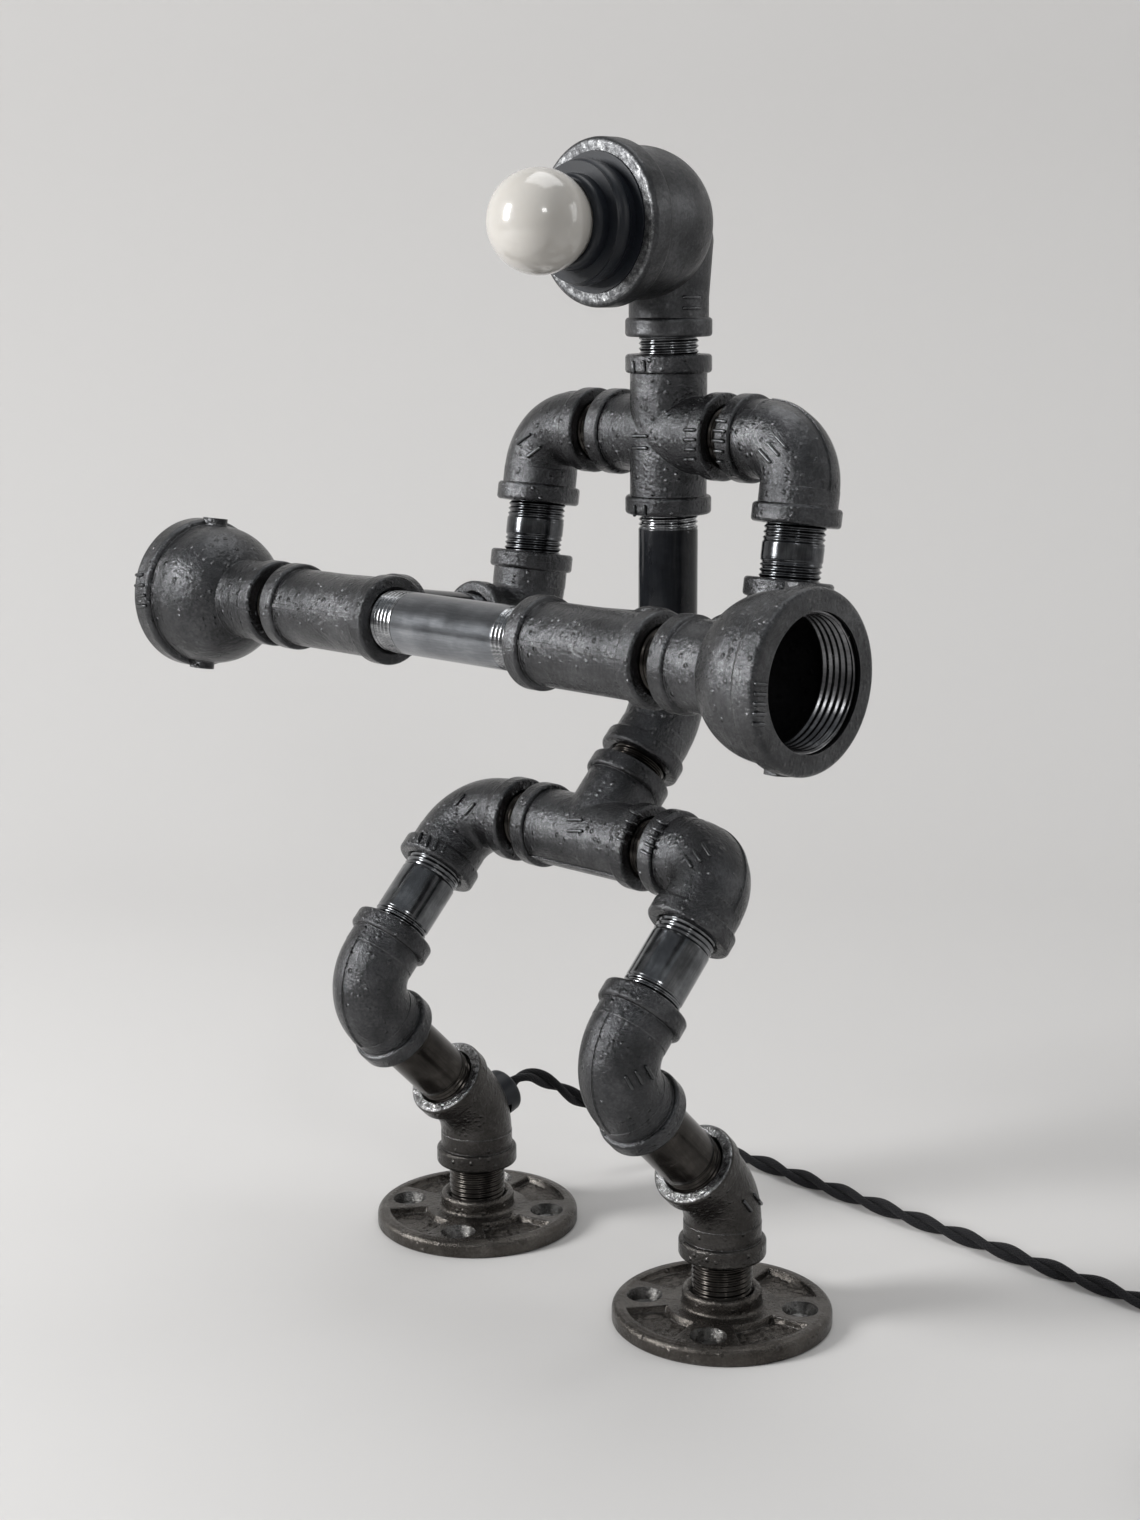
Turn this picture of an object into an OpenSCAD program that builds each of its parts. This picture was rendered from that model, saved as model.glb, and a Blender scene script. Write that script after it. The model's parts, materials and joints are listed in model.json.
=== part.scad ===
// Table lamp built from malleable iron pipe fittings as a standing figure.
// The figure faces -Y, its shoulders lie along X, +Z is up. "left" is the -X side.
// All sizes are in millimetres. Every fitting is bored, and the cable runs through them.

/* [Pipe] */
// Outside diameter of the steel pipe and nipples
pipe_d = 21.3; // [19:0.1:23]
// Wall of the pipe and nipples
pipe_wall = 2.7; // [1.5:0.1:3.2]
// Length of pipe that is screwed into each fitting
engage = 12; // [9:0.5:12.5]

/* [Fittings] */
// Centre to face of a 90 degree elbow, tee or cross
fit_reach = 28; // [27:0.5:36]
// Corner to face of a 45 degree elbow
bend_reach = 22; // [22:0.5:30]
// Outside diameter of a fitting's body
body_d = 27; // [26:0.5:30]
// Outside diameter of the band round each mouth
band_d = 30.6; // [30:0.2:38]
// Width of the band round each mouth
band_w = 6.6; // [5:0.1:10]
// Rounding of a band's edges
band_round = 1.3; // [0.5:0.1:1.8]
// Diameter of the waterway between the sockets
throat_d = 17; // [14:0.5:18]
// Centreline radius of a 90 degree elbow
elbow_bend_r = 16; // [15:0.5:16.5]
// Centreline radius of a 45 degree elbow
bend_bend_r = 24; // [18:0.5:25]
// Width of the parting rib that the mould leaves
seam_w = 1.4; // [0.8:0.1:2.5]
// Height of the parting rib
seam_h = 0.4; // [0.2:0.1:0.8]

/* [Feet] */
// Diameter of a floor flange
flange_d = 77; // [72:1:100]
// Thickness of the flange at its rim
flange_t = 6; // [5:0.5:8]
// Depth of the four cast pockets
pocket_depth = 2.4; // [1:0.2:3.5]
// Top of the hub above the table
hub_top = 12; // [9:0.5:15]
// Diameter of the hub at its top
hub_d = 28.5; // [27:0.5:31]
// Width of the raised rim
rim_w = 4.5; // [3:0.5:6]
// Circle that the four screw holes lie on
screw_pcd = 55; // [50:1:58]
// Diameter of a screw hole
screw_hole_d = 6.2; // [4:0.1:8]
// Diameter of a screw hole's countersink
screw_sink_d = 9; // [8.4:0.2:11]
// Turn of the hole pattern about the foot's axis
flange_turn = 32; // [0:1:89]

/* [Legs] */
// Table to the lower face of the ankle elbow
ankle_face_z = 24; // [17:0.5:30]
// Bare pipe between the ankle and knee elbows
shin_gap = 32; // [10:1:80]
// Bare pipe between the knee and hip elbows
thigh_gap = 27; // [10:1:80]
// Bare pipe between a hip elbow and the pelvis tee
hip_gap = 7; // [2:0.5:20]

/* [Torso] */
// Bare pipe between the pelvis tee and the waist elbow
waist_gap = 4.5; // [1:0.5:15]
// Bare pipe between the waist elbow and the cross
torso_gap = 51; // [30:1:110]
// Bare pipe between the cross and the head
neck_gap = 6; // [2:0.5:25]

/* [Arms] */
// Bare pipe between the cross and a shoulder elbow
shoulder_gap = 6.5; // [2:0.5:20]
// Bare pipe of the upper arm
upper_arm_gap = 18.5; // [8:0.5:60]
// Bare pipe of the forearm
forearm_gap = 33; // [20:1:60]
// Forward tilt of the upper arms, in degrees
arm_tilt = 9; // [0:1:20]
// Bare pipe between a barrel tee and its bell
bell_gap = 6.5; // [2:0.5:20]

/* [Bells] */
// Outside diameter of a bell's mouth band
bell_mouth_d = 55; // [54:0.5:62]
// Width of the mouth band
bell_band_w = 9; // [6:0.5:12]
// Length of a bell reducer
bell_len = 52.5; // [50:0.5:62]
// Bore of the mouth
bell_bore_d = 41.5; // [38:0.5:43]
// Depth of the mouth's bore
bell_bore_depth = 15; // [10:0.5:17]
// Wall of the bell
bell_wall = 3.8; // [2.5:0.1:4.5]
// Outside diameter of the bell behind the band
bell_body_d = 51; // [48:0.5:52]
// Radius of the dome's curve
bell_dome_r = 22; // [20:0.5:23]
// Height of the wrench lugs over the mouth band
lug_h = 0.4; // [0.2:0.1:2]
// Width of a wrench lug
lug_w = 8; // [5:0.5:10]
// Length of a wrench lug
lug_len = 7; // [6:0.5:14]

/* [Head] */
// Outside diameter of the head's mouth band
head_mouth_d = 56.5; // [56:0.5:66]
// Width of the mouth band
head_band_w = 9.5; // [6:0.5:12]
// Outside diameter of the head's body
head_body_d = 52; // [50:0.5:55]
// Neck axis to the mouth's face
head_reach = 37; // [35:0.5:46]
// Neck face up to the mouth's axis
head_rise = 38.5; // [37:0.5:50]
// Neck axis to the centre of the rounded back
head_ball_x = 16; // [13:0.5:18]
// Bore of the mouth
head_bore_d = 47; // [46:0.5:48.5]
// Wall of the head
head_wall = 3.8; // [3:0.1:5]

/* [Lampholder and bulb] */
// Diameter of the round bulb
globe_d = 35; // [34:0.2:44]
// Neck axis to the centre of the bulb
globe_x = 63; // [60.5:0.5:75]
// Diameter of the bulb's screw cap
cap_d = 26.2; // [25:0.1:26.6]
// Outside diameter of the lampholder's body
holder_d = 34; // [32:0.5:37]
// Diameter of the sleeve's middle step
sleeve_step_d = 42; // [38:0.5:44]
// Diameter of the sleeve's lip
sleeve_lip_d = 32; // [31:0.5:36]

/* [Cord] */
// Diameter of the twisted cord
cord_d = 6.4; // [5:0.1:6.8]
// Diameter of the cable inside the pipes
cable_d = 4.4; // [3:0.1:6]
// Diameter of the rubber grommet
grommet_d = 17.5; // [15:0.5:20]
// How far the grommet stands out of the ankle elbow
grommet_h = 4.6; // [3:0.1:6]
// Turn of the grommet above the level, in degrees
grommet_tilt = 18; // [8:1:26]
// Length of the inline switch
switch_len = 62; // [56:1:70]
// Width of the inline switch
switch_w = 26; // [22:0.5:32]
// Height of the inline switch
switch_h = 17; // [16:0.5:20]

/* [Hidden] */
$fn = 48;

// Clearances
fit_clear = 0.05;         // radial play of a pipe in its socket
end_gap = 0.3;            // end of a pipe to the socket's shoulder
part_gap = 0.3;           // play between pieces that don't screw together
over = 1;                 // how far a cutting shape passes the face it cuts

// Pipe and fitting radii
pipe_r = pipe_d / 2;
pipe_bore_r = pipe_r - pipe_wall;
socket_r = pipe_r + fit_clear;
socket_chamfer = 0.9;
socket_swell = 0.15;      // how much wider a fitting is at its sockets than along its bend
arm_lap = 0.5;            // how far a socket arm reaches into the bend
body_r = body_d / 2;
band_r = band_d / 2;
throat_r = throat_d / 2;
cable_r = cable_d / 2;
cord_r = cord_d / 2;

// The chain of fittings, from the table up. slope is the legs' and the waist's angle from the vertical.
slope = 45;
half = sin(slope);
hip_x = 2 * fit_reach + hip_gap;
ankle_z = ankle_face_z + bend_reach;
shin_len = bend_reach + shin_gap + fit_reach;
thigh_len = 2 * fit_reach + thigh_gap;
waist_len = fit_reach + waist_gap + bend_reach;
torso_len = bend_reach + torso_gap + fit_reach;
upper_arm_len = 2 * fit_reach + upper_arm_gap;
forearm_len = 2 * fit_reach + forearm_gap;
shoulder_x = 2 * fit_reach + shoulder_gap;

// Depths from the ankle's axis, then the shift that centres the lamp on Y
waist_depth = half * (thigh_len - shin_len + waist_len);
barrel_depth = waist_depth - sin(arm_tilt) * upper_arm_len - cos(arm_tilt) * forearm_len;
bell_lug_r = bell_mouth_d / 2 + lug_h;
depth_shift = -(waist_depth + band_r + barrel_depth - bell_lug_r) / 2;

foot_y = depth_shift;
knee_y = foot_y - half * shin_len;
knee_z = ankle_z + half * shin_len;
hip_y = knee_y + half * thigh_len;
hip_z = knee_z + half * thigh_len;
waist_y = hip_y + half * waist_len;
waist_z = hip_z + half * waist_len;
cross_z = waist_z + torso_len;
arm_y = waist_y - sin(arm_tilt) * upper_arm_len;
arm_z = cross_z - cos(arm_tilt) * upper_arm_len;
barrel_y = arm_y - cos(arm_tilt) * forearm_len;
barrel_z = arm_z + sin(arm_tilt) * forearm_len;
head_z = cross_z + fit_reach + neck_gap + head_rise;

// Head, lampholder and bulb, measured forward from the neck axis
head_bore_r = head_bore_d / 2;
head_body_r = head_body_d / 2;
head_throat_r = throat_r;
head_neck_r = 14.1;
head_neck_top_r = 15.5;
head_neck_top_z = -6;
head_neck_flare_z = -25;
head_bore_back = 25;
cap_r = cap_d / 2;
holder_r = holder_d / 2;
shell_t = 0.5;
shell_r = cap_r + part_gap + shell_t;
holder_back = 7;
holder_floor = 5;
holder_front = 37;
contact_len = 3.2;
contact_r = 4;
shell_back = holder_back + holder_floor + 2;
cap_back = holder_back + holder_floor + contact_len + part_gap + 2;
cap_front = 44.5;
sleeve_back = 26;
sleeve_lip_x = 51.2;
sleeve_seat_x = 37.6;
sleeve_groove_x = 39;
sleeve_step_x = 46.3;
sleeve_groove_r = 20;
sleeve_round = 2;
sleeve_step_round = 3.2;
neck_glass_r = cap_r - 0.5;
glass_seat = 5;

// Foot flange
flange_r = flange_d / 2;
hub_r = hub_d / 2;
hub_foot_r = hub_r + 2;
pocket_in_r = hub_foot_r + 2;
pocket_half_angle = 24;
flange_round = 1.8;
nipple_foot_z = 2;

// Bells, along their own axis from the small face
bell_mouth_r = bell_mouth_d / 2;
bell_body_r = bell_body_d / 2;
bell_dome_back = 4.5;
bell_dome_x = bell_len - bell_band_w - bell_dome_back;
bell_round = 2;
bell_neck_r = 14.2;

// Grommet, from the centre of the ankle's bend
grommet_seat = bend_bend_r + body_r;
cable_joint = 0.3;

// Cord, switch, coil and plug lie on the table. Their places count from the feet's centre line,
// and the cord's points are chosen by hand.
cord_sides = 10;
lead_points = [
    [-63, 16.1, 49.1], [-63, 22.2, 51.1], [-63, 28.5, 51], [-63, 34.8, 48.2], [-63, 41, 44], [-62.5, 48.5, 39],
    [-62, 57, 33], [-60.5, 65.5, 27], [-58, 75, 20.5], [-55, 84.5, 14.5], [-51, 93.5, 9.5], [-46, 102, 6],
    [-39, 109, 4], [-29, 114, 3.4], [-15, 114.5, 3.3], [0, 113.8, 3.3], [15, 113.2, 3.3], [30, 112.5, 3.3],
    [45, 112, 3.3], [60, 111.5, 3.3], [75, 111, 3.3], [90, 110.5, 3.3], [105, 110, 3.3], [120, 109.5, 3.3],
    [135, 109.1, 3.3], [150, 108.8, 3.3], [163, 108.5, 3.3], [176, 108, 4], [188, 107.5, 6], [199, 107.5, 8.3],
    [206, 107.5, 8.5]
];
link_points = [
    [268, 107.5, 8.5], [275, 107.5, 8.4], [286, 106, 7.5], [297, 101.5, 6.5], [306, 93.5, 5.5], [312, 81.5, 5],
    [315, 69.5, 4.8], [316, 57.5, 4.8], [316, 45.5, 4.8]
];
coil_start = [272, 39.5, 4.8];
coil_r_out = 44;
coil_pitch = 7;
coil_turns = 2.75;
coil_layer = 7;
coil_rings = 24;
coil_sides = 6;
coil_lead = 6;
tail_points = [
    [316, 33.5, 11.8], [316, 23.5, 11.6], [316, 12.5, 10.8], [316, 1.5, 9.6], [316, -9.5, 8.4], [316, -19.5, 7.6],
    [316, -28.5, 7.1], [316, -36.5, 7]
];
tie_w = 7;
tie_t = 1.2;

// Inline switch, along X from the cord's end
switch_x = 206;
switch_y = 107.5;
switch_axis_z = 8.5;
switch_end_w = 12;
rocker_w = 9;
rocker_r = 8.6;
rocker_axle_r = 1.2;
rocker_axle_len = 1.5;
rocker_rest = 8;
rocker_gap = 0.4;
rocker_axis_z = 10.4;

// Plug, with its pins pointing to -Y
plug_y = -36.5;
plug_axis_z = 7;
plug_len = 36;
plug_w = 26;
plug_h = 13.6;
plug_end_w = 10;
pin_d = 4;
pin_len = 19;
pin_pitch = 18;
pin_sunk = 6;

// ---- building blocks ----

// A band's half outline: r across, z up, both outer edges rounded
module band_outline(r, z0, z1, rounding) {
    translate([0, z0])
        square([r - rounding, z1 - z0]);
    translate([0, z0 + rounding])
        square([r, z1 - z0 - 2 * rounding]);
    for (z = [z0 + rounding, z1 - rounding])
        translate([r - rounding, z])
            circle(rounding);
}

// A socket arm of a fitting along +Z, from z = from out to its face
module arm(from, reach) {
    translate([0, 0, from])
        cylinder(r = body_r + socket_swell, h = reach - from);
    rotate_extrude()
        band_outline(band_r, reach - band_w, reach, band_round);
}

// What is cut out of such an arm
module arm_bore(from, reach) {
    translate([0, 0, from])
        cylinder(r = throat_r + socket_swell, h = reach - from);
    translate([0, 0, reach - engage - end_gap])
        cylinder(r = socket_r, h = engage + end_gap + over);
    translate([0, 0, reach - socket_chamfer])
        cylinder(r1 = socket_r, r2 = socket_r + socket_chamfer + over, h = socket_chamfer + over);
}

// A round bar bent in the XZ plane, from the -Z arm to the arm that is turned by angle
module bent_bar(bend_r, angle, r) {
    reach = bend_r * tan(angle / 2);
    translate([bend_r, 0, -reach])
        rotate([90, 0, 180])
            rotate_extrude(angle = angle)
                translate([bend_r, 0])
                    circle(r);
}

// The parting rib along the outside of the bend, or the room for it
module bend_seam(bend_r, angle, swell = 0) {
    reach = bend_r * tan(angle / 2);
    translate([bend_r, 0, -reach])
        rotate([90, 0, 180])
            rotate_extrude(angle = angle)
                translate([bend_r + body_r - seam_h, -seam_w / 2 - swell])
                    square([2 * seam_h + swell, seam_w + 2 * swell]);
}

// Elbow with its corner at the origin: one socket points to -Z, the other is turned by angle towards +X
module elbow(bend_r, angle, reach) {
    from = bend_r * tan(angle / 2);
    difference() {
        union() {
            bent_bar(bend_r, angle, body_r);
            bend_seam(bend_r, angle);
            rotate([180, 0, 0])
                arm(from - arm_lap, reach);
            rotate([0, angle, 0])
                arm(from - arm_lap, reach);
        }
        bent_bar(bend_r, angle, throat_r);
        rotate([180, 0, 0])
            arm_bore(from - arm_lap, reach);
        rotate([0, angle, 0])
            arm_bore(from - arm_lap, reach);
    }
}

module elbow_90() {
    elbow(elbow_bend_r, 90, fit_reach);
}

module elbow_45() {
    elbow(bend_bend_r, slope, bend_reach);
}

// Sockets along both ways of X and along each given way of Z. A tee has its parting rib opposite its branch.
module junction(ways) {
    difference() {
        union() {
            for (side = [-90, 90])
                rotate([0, side, 0])
                    arm(0, fit_reach);
            for (way = ways)
                rotate([way, 0, 0])
                    arm(0, fit_reach);
            if (len(ways) == 1)
                translate([-fit_reach + band_w, -seam_w / 2, -body_r - socket_swell - seam_h])
                    cube([2 * (fit_reach - band_w), seam_w, 2 * seam_h]);
        }
        for (side = [-90, 90])
            rotate([0, side, 0])
                arm_bore(0, fit_reach);
        for (way = ways)
            rotate([way, 0, 0])
                arm_bore(0, fit_reach);
    }
}

module tee() {
    junction([0]);
}

// A length of pipe along +Z that bridges gap between two faces, from face 0
module bridge(gap) {
    translate([0, 0, -engage])
        tube(gap + 2 * engage);
}

module tube(length) {
    difference() {
        cylinder(r = pipe_r, h = length);
        translate([0, 0, -over])
            cylinder(r = pipe_bore_r, h = length + 2 * over);
    }
}

// ---- feet ----

module screw_hole() {
    translate([0, 0, -over])
        cylinder(d = screw_hole_d, h = flange_t + 2 * over);
    translate([0, 0, flange_t - (screw_sink_d - screw_hole_d) / 2])
        cylinder(d1 = screw_hole_d, d2 = screw_sink_d + 2 * over, h = (screw_sink_d - screw_hole_d) / 2 + over);
}

module pocket() {
    far = 2 * flange_r;
    translate([0, 0, flange_t - pocket_depth])
        linear_extrude(pocket_depth + over)
            intersection() {
                difference() {
                    circle(flange_r - rim_w);
                    circle(pocket_in_r);
                }
                polygon([
                    [0, 0],
                    [far * cos(pocket_half_angle), -far * sin(pocket_half_angle)],
                    [far * cos(pocket_half_angle), far * sin(pocket_half_angle)]
                ]);
            }
}

module foot_flange() {
    color("dimgray")
        rotate([0, 0, flange_turn])
            difference() {
                union() {
                    rotate_extrude() {
                        square([flange_r, flange_t - flange_round]);
                        square([flange_r - flange_round, flange_t]);
                        translate([flange_r - flange_round, flange_t - flange_round])
                            circle(flange_round);
                    }
                    translate([0, 0, flange_t - over / 2])
                        cylinder(r1 = hub_foot_r, r2 = hub_r, h = hub_top - flange_t + over / 2);
                }
                for (i = [0:3])
                    rotate([0, 0, 90 * i]) {
                        translate([screw_pcd / 2, 0, 0])
                            screw_hole();
                        rotate([0, 0, 45])
                            pocket();
                    }
                translate([0, 0, -over])
                    cylinder(r = socket_r, h = hub_top + 2 * over);
                translate([0, 0, hub_top - socket_chamfer])
                    cylinder(r1 = socket_r, r2 = socket_r + socket_chamfer + over, h = socket_chamfer + over);
            }
}

module foot_nipple() {
    color("silver")
        translate([0, 0, nipple_foot_z])
            tube(ankle_face_z + engage - nipple_foot_z);
}

// ---- legs: side is -1 for left and 1 for right ----

module at_foot(side) {
    translate([side * hip_x, foot_y, 0])
        children();
}

module at_ankle(side) {
    translate([side * hip_x, foot_y, ankle_z])
        children();
}

module at_knee(side) {
    translate([side * hip_x, knee_y, knee_z])
        children();
}

module at_hip(side) {
    translate([side * hip_x, hip_y, hip_z])
        children();
}

module ankle_elbow(side) {
    color("dimgray")
        at_ankle(side)
            rotate([0, 0, -90])
                difference() {
                    elbow_45();
                    if (side < 0)
                        grommet_hole();
                }
}

module shin_nipple(side) {
    color("silver")
        at_ankle(side)
            rotate([slope, 0, 0])
                translate([0, 0, bend_reach])
                    bridge(shin_gap);
}

module knee_elbow(side) {
    color("dimgray")
        at_knee(side)
            rotate([slope, 0, 0])
                rotate([0, 0, 90])
                    elbow_90();
}

module thigh_nipple(side) {
    color("silver")
        at_knee(side)
            rotate([-slope, 0, 0])
                translate([0, 0, fit_reach])
                    bridge(thigh_gap);
}

module hip_elbow(side) {
    color("dimgray")
        at_hip(side)
            rotate([-slope, 0, 0])
                rotate([0, 0, side < 0 ? 0 : 180])
                    elbow_90();
}

// ---- pelvis and waist ----

module hip_nipples() {
    color("silver")
        for (side = [-1, 1])
            translate([side * fit_reach, hip_y, hip_z])
                rotate([0, side * 90, 0])
                    bridge(hip_gap);
}

module at_pelvis() {
    translate([0, hip_y, hip_z])
        rotate([-slope, 0, 0])
            children();
}

module pelvis_tee() {
    color("dimgray")
        at_pelvis()
            tee();
}

module waist_nipple() {
    color("silver")
        at_pelvis()
            translate([0, 0, fit_reach])
                bridge(waist_gap);
}

module at_waist() {
    translate([0, waist_y, waist_z])
        children();
}

module waist_elbow() {
    color("dimgray")
        at_waist()
            rotate([-slope, 0, 0])
                rotate([0, 0, -90])
                    elbow_45();
}

// ---- torso ----

module torso_pipe() {
    color([0.08, 0.08, 0.09])
        at_waist()
            translate([0, 0, bend_reach])
                bridge(torso_gap);
}

module at_chest() {
    translate([0, waist_y, cross_z])
        children();
}

module chest_cross() {
    color("dimgray")
        at_chest()
            junction([0, 180]);
}

module neck_nipple() {
    color("silver")
        at_chest()
            translate([0, 0, fit_reach])
                bridge(neck_gap);
}

module shoulder_nipples() {
    color("silver")
        at_chest()
            for (side = [-90, 90])
                rotate([0, side, 0])
                    translate([0, 0, fit_reach])
                        bridge(shoulder_gap);
}

// ---- arms ----

module at_shoulder(side) {
    translate([side * shoulder_x, waist_y, cross_z])
        rotate([-arm_tilt, 0, 0])
            children();
}

module at_arm(side) {
    translate([side * shoulder_x, arm_y, arm_z])
        rotate([-arm_tilt, 0, 0])
            children();
}

module at_barrel(side) {
    translate([side * shoulder_x, barrel_y, barrel_z])
        rotate([-arm_tilt, 0, 0])
            children();
}

module shoulder_elbow(side) {
    color("dimgray")
        at_shoulder(side)
            rotate([0, 0, side < 0 ? 180 : 0])
                rotate([0, 90, 0])
                    elbow_90();
}

module upper_arm_nipple(side) {
    color("silver")
        at_shoulder(side)
            rotate([180, 0, 0])
                translate([0, 0, fit_reach])
                    bridge(upper_arm_gap);
}

module arm_elbow(side) {
    color("dimgray")
        at_arm(side)
            rotate([180, 0, -90])
                elbow_90();
}

module forearm_nipple(side) {
    color("silver")
        at_arm(side)
            rotate([90, 0, 0])
                translate([0, 0, fit_reach])
                    bridge(forearm_gap);
}

module barrel_tee(side) {
    color("dimgray")
        at_barrel(side)
            rotate([-90, 0, 0])
                tee();
}

module barrel_pipe() {
    color("silver")
        translate([-shoulder_x + fit_reach, barrel_y, barrel_z])
            rotate([0, 90, 0])
                bridge(2 * (shoulder_x - fit_reach));
}

module bell_nipples() {
    color("silver")
        for (side = [-1, 1])
            at_barrel(side)
                rotate([0, side * 90, 0])
                    translate([0, 0, fit_reach])
                        bridge(bell_gap);
}

// Half outline of the bell's outside, small face at z = 0
module bell_outline() {
    band_outline(band_r, 0, band_w, band_round);
    square([bell_neck_r, bell_dome_x]);
    intersection() {
        translate([bell_body_r - bell_dome_r, bell_dome_x])
            circle(bell_dome_r);
        square([bell_body_r, bell_dome_x]);
    }
    translate([0, bell_dome_x - over])
        square([bell_body_r, bell_len - bell_dome_x]);
    band_outline(bell_mouth_r, bell_len - bell_band_w, bell_len, bell_round);
}

// Half outline of the room inside it
module bell_hollow() {
    inner_r = bell_dome_r - bell_wall;
    translate([0, -over])
        square([socket_r, engage + end_gap + over]);
    square([throat_r, bell_dome_x]);
    intersection() {
        translate([bell_body_r - bell_dome_r, bell_dome_x])
            circle(inner_r);
        square([bell_body_r, bell_dome_x]);
    }
    translate([0, bell_dome_x - over])
        square([bell_body_r - bell_wall, bell_len - bell_dome_x]);
    translate([0, bell_len - bell_bore_depth])
        square([bell_bore_d / 2, bell_bore_depth + over]);
}

// A lug's pad, its root at the origin, round at the end that points away from the mouth
module wrench_lug() {
    linear_extrude(bell_lug_r - bell_body_r + bell_wall / 2) {
        translate([0, -lug_w / 2])
            square([lug_len - lug_w / 2, lug_w]);
        translate([lug_len - lug_w / 2, 0])
            circle(lug_w / 2);
    }
}

module bell_reducer(side) {
    color("dimgray")
        at_barrel(side)
            rotate([0, side * 90, 0])
                translate([0, 0, fit_reach + bell_gap])
                    difference() {
                        union() {
                            rotate_extrude()
                                bell_outline();
                            for (turn = [0, 180])
                                rotate([0, 0, turn])
                                    translate([bell_body_r - bell_wall / 2, 0, bell_len - bell_band_w + bell_round])
                                        rotate([0, 90, 0])
                                            wrench_lug();
                        }
                        rotate_extrude()
                            bell_hollow();
                    }
}

// ---- head, lampholder and bulb ----

// The head's frame has the mouth's axis along +X and the neck along -Z
module at_head() {
    translate([0, waist_y, head_z])
        rotate([0, 0, -90])
            children();
}

// Turns a shape that is made along +Z to the mouth's axis
module along_mouth() {
    at_head()
        rotate([0, 90, 0])
            children();
}

// Half outline of a round back about the mouth's axis: a ball at head_ball_x that runs on straight to far
module head_shape(r, far) {
    intersection() {
        translate([0, head_ball_x])
            circle(r);
        translate([0, head_ball_x - r])
            square([r, r]);
    }
    translate([0, head_ball_x - over])
        square([r, far - head_ball_x + over]);
}

// Half outline of the neck about its own axis, from its face at z = 0
module neck_shape() {
    flare_z = head_rise + head_neck_flare_z;
    top_z = head_rise + head_neck_top_z;
    band_outline(band_r, 0, band_w, band_round);
    square([head_neck_r, flare_z + over]);
    polygon([[0, flare_z], [head_neck_r, flare_z], [head_neck_top_r, top_z], [0, top_z]]);
    intersection() {
        translate([0, top_z])
            circle(head_neck_top_r);
        translate([0, top_z - over])
            square(2 * head_neck_top_r);
    }
}

module head_elbow() {
    color("dimgray")
        difference() {
            union() {
                along_mouth()
                    rotate_extrude() {
                        head_shape(head_body_r, head_reach - over);
                        band_outline(head_mouth_d / 2, head_reach - head_band_w, head_reach, bell_round);
                    }
                at_head()
                    translate([0, 0, -head_rise])
                        rotate_extrude()
                            neck_shape();
            }
            along_mouth()
                rotate_extrude() {
                    head_shape(head_body_r - head_wall, head_reach - over);
                    translate([0, head_bore_back])
                        square([head_bore_r, head_reach - head_bore_back + over]);
                }
            at_head()
                translate([0, 0, -head_rise - over])
                    rotate_extrude() {
                        square([head_throat_r, head_rise]);
                        square([socket_r, engage + end_gap + over]);
                    }
        }
}

// Rubber sleeve: seat in the mouth, groove, middle step, lip round the bulb
module holder_sleeve() {
    seat_r = head_bore_r - fit_clear;
    color([0.06, 0.06, 0.07])
        along_mouth()
            rotate_extrude()
                difference() {
                    union() {
                        translate([0, sleeve_back])
                            square([seat_r, sleeve_seat_x - sleeve_back]);
                        translate([0, sleeve_back])
                            square([sleeve_groove_r, sleeve_step_x - sleeve_back]);
                        band_outline(sleeve_step_d / 2, sleeve_groove_x, sleeve_step_x, sleeve_step_round);
                        band_outline(sleeve_lip_d / 2, sleeve_back, sleeve_lip_x, sleeve_round);
                    }
                    translate([0, sleeve_back - over])
                        square([holder_r + fit_clear, holder_front - sleeve_back + over]);
                    square([cap_r + part_gap, sleeve_lip_x + over]);
                }
}

module holder_body() {
    color([0.1, 0.1, 0.1])
        along_mouth()
            rotate_extrude()
                difference() {
                    translate([0, holder_back])
                        square([holder_r, holder_front - holder_back]);
                    translate([0, holder_back + holder_floor])
                        square([shell_r + fit_clear, holder_front]);
                    square([cable_r + part_gap, holder_back + holder_floor + over]);
                }
}

module holder_shell() {
    color("goldenrod")
        along_mouth()
            rotate_extrude()
                translate([shell_r - shell_t, shell_back])
                    square([shell_t, holder_front - shell_back]);
}

module holder_contact() {
    color("goldenrod")
        along_mouth()
            translate([0, 0, holder_back + holder_floor])
                difference() {
                    cylinder(r = contact_r, h = contact_len);
                    translate([0, 0, -over])
                        cylinder(r = contact_r / 3, h = contact_len);
                }
}

module bulb_contact() {
    color("lightgray")
        along_mouth()
            translate([0, 0, cap_back - 2])
                cylinder(r1 = contact_r, r2 = contact_r + 1, h = 2);
}

module bulb_cap() {
    color("lightgray")
        along_mouth()
            translate([0, 0, cap_back])
                rotate_extrude()
                    difference() {
                        union() {
                            square([cap_r - 3, cap_front - cap_back]);
                            translate([0, 3])
                                square([cap_r, cap_front - cap_back - 3]);
                            translate([cap_r - 3, 3])
                                circle(3);
                        }
                        translate([0, 4])
                            square([neck_glass_r - 1, cap_front]);
                        translate([0, cap_front - cap_back - glass_seat])
                            square([neck_glass_r + fit_clear, glass_seat + over]);
                    }
}

module bulb_globe() {
    color("ivory")
        along_mouth() {
            translate([0, 0, globe_x])
                sphere(d = globe_d);
            translate([0, 0, cap_front - glass_seat + fit_clear])
                cylinder(r = neck_glass_r, h = globe_x - cap_front);
        }
}

// ---- cable inside the pipes, one piece for each part that turns ----

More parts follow.
